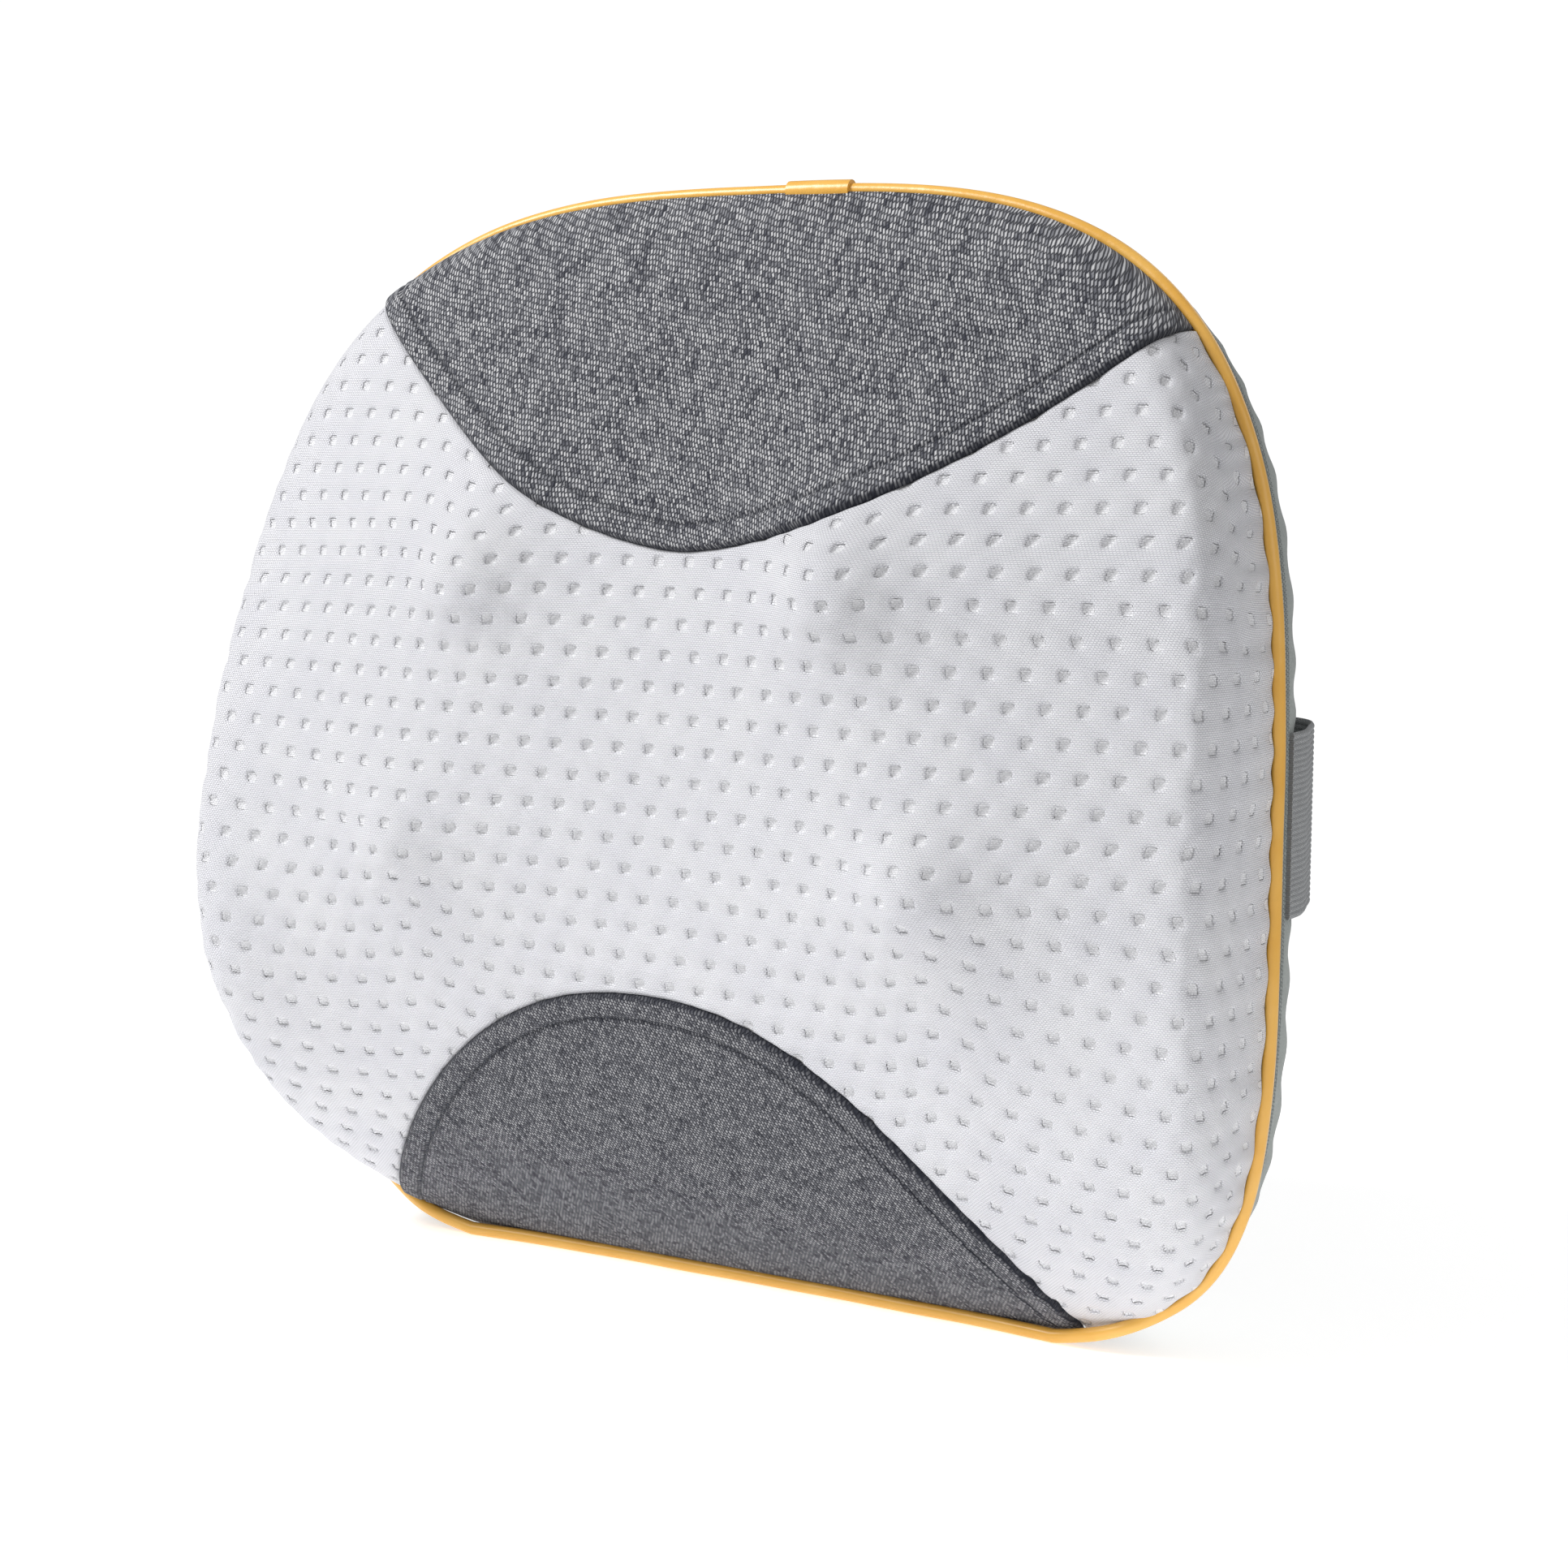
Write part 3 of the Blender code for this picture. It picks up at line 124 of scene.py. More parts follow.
def resample(points, count, closed=False, floor=None):
    """Points at even distances along a line."""
    if closed:
        points = np.concatenate([points, points[:1]])
    steps = np.linalg.norm(np.diff(points, axis=0), axis=1)
    lengths = np.concatenate([[0], np.cumsum(steps)])
    marks = np.linspace(0, lengths[-1], count, endpoint=not closed)
    found = np.stack([np.interp(marks, lengths, column) for column in points.T], 1)
    if floor is not None:
        found[:, -1] = np.maximum(found[:, -1], floor)
    return found


def outline_ratio(x, z, inset=0.0):
    width, height, power = half_sizes(z, inset)
    across = (np.abs(x) / width) ** power
    return (across + (np.abs(z - WIDEST_HEIGHT) / height) ** power) ** (1 / power)


def edge_distance(x, z, inset=0.0):
    """How far inward of the outline each point lies along its ray, and the ray's x on it."""
    ratio = np.maximum(outline_ratio(x, z, inset), 1e-3)
    distance = np.maximum(0, (1 / ratio - 1) * np.hypot(x, z - WIDEST_HEIGHT))
    return np.where(ratio <= 1e-3, WIDTH, distance), x / ratio


def seam_y(x):
    share = np.minimum(np.abs(x) / (WIDTH / 2), 1)
    return SEAM_SIDE_Y + SEAM_BOW * (1 - share**SEAM_BOW_POWER)


def rounded(share):
    """Quarter-circle rise from 0 to 1."""
    return np.sqrt(np.maximum(0, 1 - (1 - np.clip(share, 0, 1)) ** 2))


def smooth(low, high, value):
    share = np.clip((value - low) / (high - low), 0, 1)
    return share * share * (3 - 2 * share)


def ridge_y(x, z):
    """Front of the cushion without its bumps: side wall, rounded ridge and face."""
    reach = np.where(z > FACE_HEIGHT, HEIGHT - FACE_HEIGHT, FACE_HEIGHT)
    share = np.minimum(np.abs(z - FACE_HEIGHT) / reach, 1) ** FACE_POWER
    face = SEAM_MIDDLE_Y + (FACE_Y - SEAM_MIDDLE_Y) * (1 - share)
    for fullest_x, fullest_z, amount in FULLNESS:
        gap = ((x - fullest_x) / FULL_WIDTH) ** 2 + ((z - fullest_z) / FULL_HEIGHT) ** 2
        face = face - amount * np.exp(-gap)
    distance, edge_x = edge_distance(x, z)
    start = seam_y(edge_x)
    return start + (face - start) * rounded(distance / SHOULDER)


def back_y(x, z):
    distance, edge_x = edge_distance(x, z, BACK_INSET)
    down = np.maximum(0, WIDEST_HEIGHT - z) / np.maximum(np.hypot(x, z - WIDEST_HEIGHT), 1e-6)
    start = seam_y(edge_x) + REAR_RIM + BASE_BAND * down**4
    reach = BACK_SHOULDER + (BASE_SHOULDER - BACK_SHOULDER) * down**2
    return start + (BACK_Y - BACK_INSET - start) * rounded(distance / reach)


# ---- stretched fabric over the four heads
NET_STEP = 0.002
NET_X = np.arange(-0.172, 0.1725, NET_STEP)
NET_Z = np.arange(-0.010, 0.3305, NET_STEP)
PAD_OVER_HEAD = 0.0230
HEAD_CROWN = 0.016  # radius of the padded top that shows through the fabric
PAD_SAG = 0.010  # the padding slumps below each head
SWEEP_PAD = 0.0045
PEDESTAL = 0.011  # the padding lifts the fabric broadly round each head
PEDESTAL_REACH = 0.030
CAP_REACH = 0.014
SWEEP_REACH = 0.010
HELD_SHARE = 0.7  # the fabric is held to the shoulder for this much of its width
NO_LIMIT = 1.0
# Net points skipped and rounds: coarse nets settle the long reaches, finer ones the detail.
NETS = ((4, 900), (2, 500), (1, 260))
SMOOTHING_ROUNDS = 6


def head_places():
    places = []
    for side in (-1, 1):
        for end in (1, -1):
            x = side * ARM_X - math.sin(ARM_TILT * side) * ARM_RADIUS * end
            places.append((x, ARM_Z + math.cos(ARM_TILT) * ARM_RADIUS * end))
    return places


def relax(height, free, limit, rounds):
    """A stretched skin settles between its fixed edge and whatever pushes it forward."""
    for _ in range(rounds):
        middle = (
            np.roll(height, 1, 0) + np.roll(height, -1, 0)
            + np.roll(height, 1, 1) + np.roll(height, -1, 1)
        ) / 4
        height = np.where(free, np.minimum(middle, limit), height)
    return height


def stretched_front():
    """How far the stretched fabric stands off the plain front, on a regular net."""
    x, z = np.meshgrid(NET_X, NET_Z, indexing="ij")
    plain = ridge_y(x, z)
    distance, _ = edge_distance(x, z)
    free = (distance > HELD_SHARE * SHOULDER) & (outline_ratio(x, z) < 1)
    limit = plain.copy()
    for head_x, head_z in head_places():
        away = np.hypot(x - head_x, z - head_z + PAD_SAG)
        cap = HEAD_TOP_Y - PAD_OVER_HEAD + away**2 / (2 * HEAD_CROWN)
        limit = np.minimum(limit, np.where(away < CAP_REACH, cap, NO_LIMIT))
        limit = np.minimum(limit, plain - PEDESTAL * np.exp(-((away / PEDESTAL_REACH) ** 2)))
    sweep = np.abs(np.hypot(np.abs(x) - ARM_X, z - ARM_Z) - ARM_RADIUS)
    limit = np.minimum(limit, np.where(sweep < SWEEP_REACH, HEAD_TOP_Y - SWEEP_PAD, NO_LIMIT))
    height = plain.copy()
    for skip, rounds in NETS:
        part = relax(height[::skip, ::skip], free[::skip, ::skip], limit[::skip, ::skip], rounds)
        if skip > 1:
            lines = [np.arange(0, n, skip) for n in height.shape]
            rows = np.stack([np.interp(np.arange(height.shape[1]), lines[1], row) for row in part])
            full = np.stack(
                [np.interp(np.arange(height.shape[0]), lines[0], column) for column in rows.T], 1
            )
            height = np.where(free, full, height)
        else:
            height = part
    for _ in range(SMOOTHING_ROUNDS):
        height = (height + relax(height, free, NO_LIMIT, 1)) / 2
    return height - plain


STAND_OFF = stretched_front()


def lengths_up_the_fabric():
    """Distance over the fabric from the arms' level, up or down each line of the net."""
    x, z = np.meshgrid(NET_X, NET_Z, indexing="ij")
    steps = np.hypot(np.diff(ridge_y(x, z) + STAND_OFF, axis=1), NET_STEP)
    lengths = np.concatenate([np.zeros((len(x), 1)), np.cumsum(steps, 1)], 1)
    level = int((ARM_Z - NET_Z[0]) / NET_STEP)
    return lengths - lengths[:, level:level + 1]


LENGTHS_UP = lengths_up_the_fabric()


def sample(field, x, z):
    """Smooth value of a field on the net, by cubic B-spline weights."""
    along, up = (x - NET_X[0]) / NET_STEP, (z - NET_Z[0]) / NET_STEP
    i, k = np.floor(along).astype(int), np.floor(up).astype(int)
    total = 0
    weights = []
    for f in (along - i, up - k):
        weights.append((
            (1 - f) ** 3 / 6, (3 * f**3 - 6 * f**2 + 4) / 6,
            (-3 * f**3 + 3 * f**2 + 3 * f + 1) / 6, f**3 / 6,
        ))
    for a in range(4):
        for b in range(4):
            row = np.clip(i + a - 1, 0, field.shape[0] - 1)
            column = np.clip(k + b - 1, 0, field.shape[1] - 1)
            total = total + weights[0][a] * weights[1][b] * field[row, column]
    return total


def front_y(x, z):
    return ridge_y(x, z) + sample(STAND_OFF, x, z)


def arc_net(lines, reach_of, place_of):
    """Length over the fabric from its middle line, along each of a set of lines."""
    shares = 1 - (1 - np.linspace(0, 1, 501)) ** 2
    table = []
    for line in lines:
        x, z = place_of(line, shares * reach_of(line))
        y = front_y(x, z)
        steps = np.sqrt(np.diff(x) ** 2 + np.diff(y) ** 2 + np.diff(z) ** 2)
        table.append(np.concatenate([[0], np.cumsum(steps)]))
    return shares, np.array(table)


def half_width_at(z):
    width, height, power = half_sizes(z)
    share = 1 - (np.abs(z - WIDEST_HEIGHT) / height) ** power
    return width * np.maximum(1e-9, share) ** (1 / power)


LEVELS = np.linspace(0.0, HEIGHT - 1e-4, 161)
ACROSS_SHARES, ACROSS = arc_net(LEVELS, half_width_at, lambda z, x: (x, np.full(x.shape, z)))


def fabric_across(x, z):
    """Distance over the fabric from the middle of the cushion, at each height."""
    share = np.clip(np.abs(x) / half_width_at(np.clip(z, 0, LEVELS[-1])), 0, 1)
    column = np.interp(share, ACROSS_SHARES, np.arange(len(ACROSS_SHARES)))
    row = np.clip(z / LEVELS[-1], 0, 1) * (len(LEVELS) - 1)
    i = np.minimum(row.astype(int), len(LEVELS) - 2)
    k = np.minimum(column.astype(int), len(ACROSS_SHARES) - 2)
    f, g = row - i, column - k
    low = ACROSS[i, k] * (1 - g) + ACROSS[i, k + 1] * g
    high = ACROSS[i + 1, k] * (1 - g) + ACROSS[i + 1, k + 1] * g
    return np.sign(x) * (low * (1 - f) + high * f)


# ---- mesh helpers
def even_rows(x, z, count):
    """Each row of a dense patch thinned to count + 1 points at even distances over the fabric."""
    y = front_y(x, z)
    steps = np.sqrt(np.diff(x, axis=1) ** 2 + np.diff(y, axis=1) ** 2 + np.diff(z, axis=1) ** 2)
    lengths = np.concatenate([np.zeros((len(x), 1)), np.cumsum(steps, 1)], 1)
    rows_x, rows_z = [], []
    for i in range(len(x)):
        marks = np.linspace(0, lengths[i, -1], count + 1)
        rows_x.append(np.interp(marks, lengths[i], x[i]))
        rows_z.append(np.interp(marks, lengths[i], z[i]))
    return np.array(rows_x), np.array(rows_z)


def grid_mesh(name, rows, columns, half=0.5):
    """A flat square grid of faces, and half its side in metres."""
    bm = bmesh.new()
    bmesh.ops.create_grid(bm, x_segments=columns, y_segments=rows, size=half)
    mesh = bpy.data.meshes.new(name)
    bm.to_mesh(mesh)
    bm.free()
    return mesh


def vertex_places(mesh):
    places = np.empty(len(mesh.vertices) * 3, np.float32)
    mesh.vertices.foreach_get("co", places)
    return places.reshape(-1, 3).astype(float)


def place_vertices(mesh, places):
    mesh.vertices.foreach_set("co", places.astype(np.float32).ravel())
    mesh.update()


def patch(name, x, y, z):
    """A sheet over a grid of places, with the row and column of each of its vertices."""
    x, y, z = np.array(x), np.array(y), np.array(z)
    rows, columns = x.shape
    mesh = grid_mesh(name, rows - 1, columns - 1)
    flat = vertex_places(mesh)
    column = np.rint((flat[:, 0] + 0.5) * (columns - 1)).astype(int)
    row = np.rint((flat[:, 1] + 0.5) * (rows - 1)).astype(int)
    place_vertices(mesh, np.stack([x[row, column], y[row, column], z[row, column]], 1))
    return mesh, row, column


def set_uv(mesh, u, v):
    """A UV map in metres over the fabric, from a value at each vertex."""
    layer = mesh.uv_layers.new(name="weave")
    corner = np.empty(len(mesh.loops), np.int32)
    mesh.loops.foreach_get("vertex_index", corner)
    both = np.stack([u[corner], v[corner]], 1)
    layer.data.foreach_set("uv", both.astype(np.float32).ravel())


def set_value(mesh, name, value):
    made = mesh.attributes.new(name, "FLOAT", "POINT")
    made.data.foreach_set("value", value.astype(np.float32))


def raise_along_normals(mesh, height):
    normals = np.empty(len(mesh.vertices) * 3, np.float32)
    mesh.vertices.foreach_get("normal", normals)
    place_vertices(mesh, vertex_places(mesh) + normals.reshape(-1, 3) * height[:, None])


def close_mesh(mesh, outward=None):
    """Merges seams and poles, and turns the faces outwards."""
    bm = bmesh.new()
    bm.from_mesh(mesh)
    bmesh.ops.remove_doubles(bm, verts=bm.verts, dist=2e-6)
    bmesh.ops.dissolve_degenerate(bm, edges=bm.edges, dist=1e-7)
    bmesh.ops.recalc_face_normals(bm, faces=bm.faces)
    if outward is not None:
        score = sum(face.normal.dot(outward) * face.calc_area() for face in bm.faces)
        if score < 0:
            bmesh.ops.reverse_faces(bm, faces=bm.faces)
    bm.to_mesh(mesh)
    bm.free()


def new_object(name, data):
    made = bpy.data.objects.new(name, data)
    bpy.context.scene.collection.objects.link(made)
    return made


def add_piece(name, mesh, material, body="cushion", angle=None):
    mesh.shade_smooth()
    if angle is not None:
        mesh.set_sharp_from_angle(angle=math.radians(angle))
    mesh.materials.clear()
    mesh.materials.append(material)
    made = new_object(name, mesh)
    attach(made, body)
    return made


def tube_mesh(name, points, radius, sides, closed):
    """A round cord along a line of points."""
    curve = bpy.data.curves.new(name, "CURVE")
    curve.dimensions = "3D"
    curve.bevel_depth = radius
    curve.bevel_resolution = max(0, sides // 2 - 2)
    curve.use_fill_caps = not closed
    spline = curve.splines.new("POLY")
    spline.points.add(len(points) - 1)
    spline.points.foreach_set("co", np.c_[points, np.ones(len(points))].ravel())
    spline.use_cyclic_u = closed
    holder = new_object(name, curve)
    depsgraph = bpy.context.evaluated_depsgraph_get()
    mesh = bpy.data.meshes.new_from_object(holder.evaluated_get(depsgraph))
    bpy.data.objects.remove(holder)
    bpy.data.curves.remove(curve)
    return mesh


OUTLINE_LENGTH = 1.12  # metres round the cushion, for the tapes' weave
PROFILE_STEP = 0.001  # metres of weave from one profile point to the next


def band_mesh(name, profile, count):
    """A closed (behind the seam, inset) profile carried round the cushion."""
    xs, ys, zs = [], [], []
    for behind, inset in [*profile, profile[0]]:
        points = outline(inset, max(inset, 0), count)
        points = np.concatenate([points, points[:1]])
        xs.append(points[:, 0])
        ys.append(seam_y(points[:, 0]) + behind)
        zs.append(points[:, 1])
    mesh, row, column = patch(name, xs, ys, zs)
    set_uv(mesh, column / count * OUTLINE_LENGTH, row * PROFILE_STEP)
    close_mesh(mesh)
    return mesh


# ---- material helpers
def linear(hex_colour):
    """sRGB hex to the linear colour that shaders take."""
    parts = [int(hex_colour[i:i + 2], 16) / 255 for i in (1, 3, 5)]
    return (*[c / 12.92 if c <= 0.04045 else ((c + 0.055) / 1.055) ** 2.4 for c in parts], 1)


def node(tree, kind, inputs=None, **settings):
    """Adds a node with its settings. Each input is a value, or another node's output to link."""
    made = tree.nodes.new(kind)
    for name, value in settings.items():
        setattr(made, name, value)
    for name, value in (inputs or {}).items():
        if isinstance(value, bpy.types.NodeSocket):
            tree.links.new(value, made.inputs[name])
        else:
            made.inputs[name].default_value = value
    return made


def start_material(name, **shader_inputs):
    made = bpy.data.materials.new(name)
    made.use_nodes = True
    shader = made.node_tree.nodes["Principled BSDF"]
    for key, value in shader_inputs.items():
        shader.inputs[key.replace("_", " ")].default_value = value
    return made, made.node_tree, shader


def paint(tree, shader, colour):
    tree.links.new(colour, shader.inputs["Base Color"])


def colour_ramp(tree, factor, stops):
    made = node(tree, "ShaderNodeValToRGB", {"Fac": factor})
    ramp = made.color_ramp
    while len(ramp.elements) < len(stops):
        ramp.elements.new(0.5)
    for element, (place, colour) in zip(ramp.elements, stops):
        element.position = place
        element.color = linear(colour)
    return made.outputs["Color"]


def mapped(tree, source, scale, turn=0.0):
    return node(tree, "ShaderNodeMapping", {
        "Vector": source, "Scale": scale, "Rotation": (0, 0, turn),
    }).outputs["Vector"]


def place_of(tree, uv=False):
    if uv:
        return node(tree, "ShaderNodeUVMap", uv_map="weave").outputs["UV"]
    return node(tree, "ShaderNodeTexCoord").outputs["Object"]


def bumped(tree, shader, height, distance, strength=1.0, under=None):
    inputs = {"Height": height, "Distance": distance, "Strength": strength}
    if under is not None:
        inputs["Normal"] = under
    made = node(tree, "ShaderNodeBump", inputs)
    tree.links.new(made.outputs["Normal"], shader.inputs["Normal"])
    return made.outputs["Normal"]


def noise(tree, source, per_metre, detail=2.0, roughness=0.5):
    return node(tree, "ShaderNodeTexNoise", {
        "Vector": source, "Scale": per_metre, "Detail": detail, "Roughness": roughness,
    }).outputs["Fac"]


def mixed(tree, factor, first, second):
    inputs = {0: factor, 6: first, 7: second}
    return node(tree, "ShaderNodeMix", inputs, data_type="RGBA", blend_type="MIX").outputs[2]


def maths(tree, operation, *values):
    return node(tree, "ShaderNodeMath", dict(enumerate(values)), operation=operation).outputs[0]


def times(tree, first, second):
    return maths(tree, "MULTIPLY", first, second)


def two_parts(tree, first, first_share, second, second_share):
    """Sum of two values, each times its share."""
    return maths(tree, "ADD", times(tree, first, first_share), times(tree, second, second_share))


def vary_gloss(tree, shader, roughness, grain, either_way):
    swing = times(tree, grain, 2 * either_way)
    found = maths(tree, "ADD", roughness - either_way, swing)
    tree.links.new(found, shader.inputs["Roughness"])


def shade_of(tree, colour):
    return node(tree, "ShaderNodeSeparateColor", {"Color": colour}).outputs[0]


def threads(tree, source, width, height, gap, low="#000000"):
    """Rows of thread floats, each with its own shade, and the gaps between them."""
    made = node(tree, "ShaderNodeTexBrick", {
        "Vector": source, "Color1": linear(low), "Color2": linear("#FFFFFF"),
        "Mortar": (0, 0, 0, 1), "Scale": 1.0, "Mortar Size": gap * height,
        "Mortar Smooth": 1.0, "Bias": 0.0,
        "Brick Width": width, "Row Height": height,
    }, offset=0.5, offset_frequency=2, squash=1.0, squash_frequency=2)
    return made.outputs["Color"], made.outputs["Fac"]


# ---- materials
DIMPLE_PITCH = 0.0099
DIMPLE_ROW = 0.0087
DIMPLE_HALF = 0.00150
DIMPLE_DEPTH = 0.00095
DIMPLE_RIM = (0.80, 1.22)  # from the flat floor to the level cloth, in half widths
PRESSED_RIM = (0.86, 1.10)


def pressed_dimples(tree, flat):
    """The same lattice as the dimples in the cloth, with the crisp edge of a hot press."""
    parts = node(tree, "ShaderNodeSeparateXYZ", {"Vector": flat})
    rows = maths(tree, "DIVIDE", parts.outputs["Y"], DIMPLE_ROW)
    row = maths(tree, "ROUND", rows)
    shift = times(tree, maths(tree, "FLOORED_MODULO", row, 2.0), 0.5)
    columns = maths(tree, "DIVIDE", parts.outputs["X"], DIMPLE_PITCH)
    columns = maths(tree, "SUBTRACT", columns, shift)
    across = maths(tree, "SUBTRACT", columns, maths(tree, "ROUND", columns))
    up = maths(tree, "SUBTRACT", rows, row)
    powers = [
        maths(tree, "POWER", maths(tree, "ABSOLUTE", times(tree, part, scale)), 4.0)
        for part, scale in ((across, DIMPLE_PITCH / DIMPLE_HALF), (up, DIMPLE_ROW / DIMPLE_HALF))
    ]
    away = maths(tree, "POWER", maths(tree, "ADD", *powers), 0.25)
    return node(tree, "ShaderNodeMapRange", {
        "Value": away, "From Min": PRESSED_RIM[0], "From Max": PRESSED_RIM[1],
        "To Min": 1.0, "To Max": 0.0,
    }, interpolation_type="SMOOTHSTEP").outputs["Result"]


def make_spacer_knit():
    """Polyester spacer knit: dense filament loops give a soft silky white with fine open rows."""
    made, tree, shader = start_material(
        "polyester_spacer_knit", Roughness=0.62, Sheen_Weight=0.25, Sheen_Roughness=0.4,
        Specular_IOR_Level=0.35,
    )
    flat = place_of(tree, uv=True)
    # The loops are drawn a little coarser than real ones, so that they show.
    _, gaps = threads(tree, flat, 0.00095, 0.00056, gap=0.30)
    cloud = noise(tree, flat, 45.0, 3.0)
    body = colour_ramp(tree, cloud, ((0.3, "#EDEDF2"), (0.7, "#F4F4F7")))
    # The gaps between the loops are painted darker: painted shade in the open rows.
    darker = mixed(tree, times(tree, gaps, 0.40), body, linear("#A9A9B8"))
    dimple = pressed_dimples(tree, flat)
    # The dimple floors are painted lighter than the cloth: a painted highlight for their gloss.
    colour = mixed(tree, times(tree, dimple, 0.9), darker, linear("#FAFAFD"))
    paint(tree, shader, colour)
    fine = noise(tree, flat, 2600.0)
    pressed = bumped(tree, shader, maths(tree, "SUBTRACT", 1.0, dimple), 0.0005, 1.0)
    under = bumped(tree, shader, maths(tree, "SUBTRACT", 1.0, gaps), 0.00022, 0.9, pressed)
    bumped(tree, shader, fine, 0.00006, 0.4, under)
    return made


def make_melange(name, light, middle, dark):
    """Woven polyester melange: light floats over navy-black yarn, in steep twill lines."""
    made, tree, shader = start_material(
        name, Roughness=0.88, Sheen_Weight=0.12, Sheen_Roughness=0.5, Specular_IOR_Level=0.25,
    )
    flat = place_of(tree, uv=True)
    wobble = node(tree, "ShaderNodeTexNoise", {"Vector": flat, "Scale": 260.0, "Detail": 1.0})
    shift = node(tree, "ShaderNodeVectorMath", {
        0: wobble.outputs["Color"], 1: (0.0011, 0.0011, 0.0),
    }, operation="MULTIPLY").outputs[0]
    moved = node(tree, "ShaderNodeVectorMath", {0: flat, 1: shift}, operation="ADD").outputs[0]
    leaning = mapped(tree, moved, (1.0, 1.0, 1.0), math.radians(62))
    # Floats are 1.25 mm long, in rows 0.85 mm apart.
    shade, gaps = threads(tree, leaning, 0.00125, 0.00085, gap=0.36, low="#303030")
    value = shade_of(tree, shade)
    fleck = noise(tree, mapped(tree, moved, (900.0, 420.0, 1.0)), 1.0, 3.0, 0.6)
    cloud = noise(tree, flat, 120.0)
    tone = two_parts(tree, value, 0.45, fleck, 0.55)
    drift = times(tree, maths(tree, "SUBTRACT", cloud, 0.5), 0.25)
    tone = maths(tree, "ADD", tone, drift)
    yarn = colour_ramp(tree, tone, ((0.22, dark), (0.42, middle), (0.66, light)))
    colour = mixed(tree, times(tree, gaps, 0.80), yarn, linear("#23242C"))
    shade = node(tree, "ShaderNodeAttribute", attribute_name="shade").outputs["Fac"]
    colour = mixed(tree, shade, colour, linear("#1F222C"))
    paint(tree, shader, colour)
    under = bumped(tree, shader, maths(tree, "SUBTRACT", 1.0, gaps), 0.00030, 0.9)
    bumped(tree, shader, fleck, 0.00015, 0.5, under)
    return made


def make_felt():
    """Brushed polyester jersey: short grey-green nap, matt, with faint mottling."""
    made, tree, shader = start_material(
        "brushed_polyester_jersey", Roughness=0.95, Sheen_Weight=0.3, Sheen_Roughness=0.6,
        Specular_IOR_Level=0.2,
    )
    place = place_of(tree)
    cloud = noise(tree, place, 60.0, 4.0, 0.6)
    nap = noise(tree, place, 1500.0, 3.0, 0.7)
    tone = two_parts(tree, cloud, 0.45, nap, 0.55)
    colour = colour_ramp(tree, tone, ((0.30, "#808784"), (0.50, "#929996"), (0.70, "#A3A9A6")))
    paint(tree, shader, colour)
    under = bumped(tree, shader, nap, 0.0004, 0.7)
    bumped(tree, shader, cloud, 0.0012, 0.35, under)
    return made


def make_piping():
    """PVC coated piping: smooth amber-yellow skin, satin, with very slight ripples."""
    made, tree, shader = start_material(
        "pvc_coated_piping", Roughness=0.34, Specular_IOR_Level=0.5, Coat_Weight=0.15,
        Coat_Roughness=0.25,
    )
    place = place_of(tree)
    cloud = noise(tree, place, 70.0)
    colour = colour_ramp(tree, cloud, ((0.3, "#EBB04A"), (0.7, "#F2BC5C")))
    paint(tree, shader, colour)
    ripple = noise(tree, place, 240.0)
    grain = noise(tree, place, 2600.0)
    under = bumped(tree, shader, ripple, 0.0006, 0.35)
    bumped(tree, shader, grain, 0.00005, 0.35, under)
    return made


def make_tape():
    """Woven polyester zip tape: fine herringbone, grey, matt."""
    made, tree, shader = start_material("woven_zip_tape", Roughness=0.85, Specular_IOR_Level=0.3)
    flat = place_of(tree, uv=True)
    shade, gaps = threads(tree, flat, 0.0011, 0.0007, gap=0.30, low="#606060")
    value = shade_of(tree, shade)
    yarn = colour_ramp(tree, value, ((0.2, "#8E9492"), (1.0, "#A9AFAD")))
    # The gaps between the threads are painted darker: painted shade.
    colour = mixed(tree, times(tree, gaps, 0.6), yarn, linear("#595F5E"))
    paint(tree, shader, colour)
    bumped(tree, shader, maths(tree, "SUBTRACT", 1.0, gaps), 0.00025, 0.8)
    return made


def make_strap_weave():
    """Knitted elastic webbing: covered rubber cords make ribs, with grey filament across them."""
    made, tree, shader = start_material(
        "knitted_elastic_webbing", Roughness=0.78, Sheen_Weight=0.1, Specular_IOR_Level=0.3,
    )
    flat = place_of(tree, uv=True)
    shade, gaps = threads(tree, flat, 0.0006, 0.00075, gap=0.32, low="#505050")
    value = shade_of(tree, shade)
    yarn = colour_ramp(tree, value, ((0.2, "#A6A8AA"), (1.0, "#BDBFC0")))
    # The valleys between the ribs are painted darker: painted shade in the grooves.
    rib = node(tree, "ShaderNodeAttribute", attribute_name="rib").outputs["Fac"]
    rib_shaded = mixed(tree, times(tree, rib, 0.5), yarn, linear("#7A7C7E"))
    # The gaps between the threads are painted darker too: painted shade.
    colour = mixed(tree, times(tree, gaps, 0.4), rib_shaded, linear("#6E7073"))
    paint(tree, shader, colour)
    bumped(tree, shader, maths(tree, "SUBTRACT", 1.0, gaps), 0.00018, 0.8)
    return made


def make_thread(name, colour, dark):
    """Twisted polyester sewing thread: slight sheen, shade changes along the twist."""
    made, tree, shader = start_material(name, Roughness=0.55, Specular_IOR_Level=0.4)
    twist = noise(tree, place_of(tree), 1800.0, 1.0)
    found = colour_ramp(tree, twist, ((0.35, dark), (0.65, colour)))
    paint(tree, shader, found)
    bumped(tree, shader, twist, 0.0001, 0.5)
    return made


def make_moulded(name, dark, light, roughness, grain_per_metre=1600.0, **more):
    """Injection moulded plastic: a fine spark-eroded grain and almost even colour."""
    made, tree, shader = start_material(name, Roughness=roughness, **more)
    place = place_of(tree)
    cloud = noise(tree, place, 30.0, 3.0)
    grain = noise(tree, place, grain_per_metre)
    paint(tree, shader, colour_ramp(tree, cloud, ((0.3, dark), (0.7, light))))
    vary_gloss(tree, shader, roughness, grain, 0.05)
    bumped(tree, shader, grain, 0.00006, 0.5)
    return made


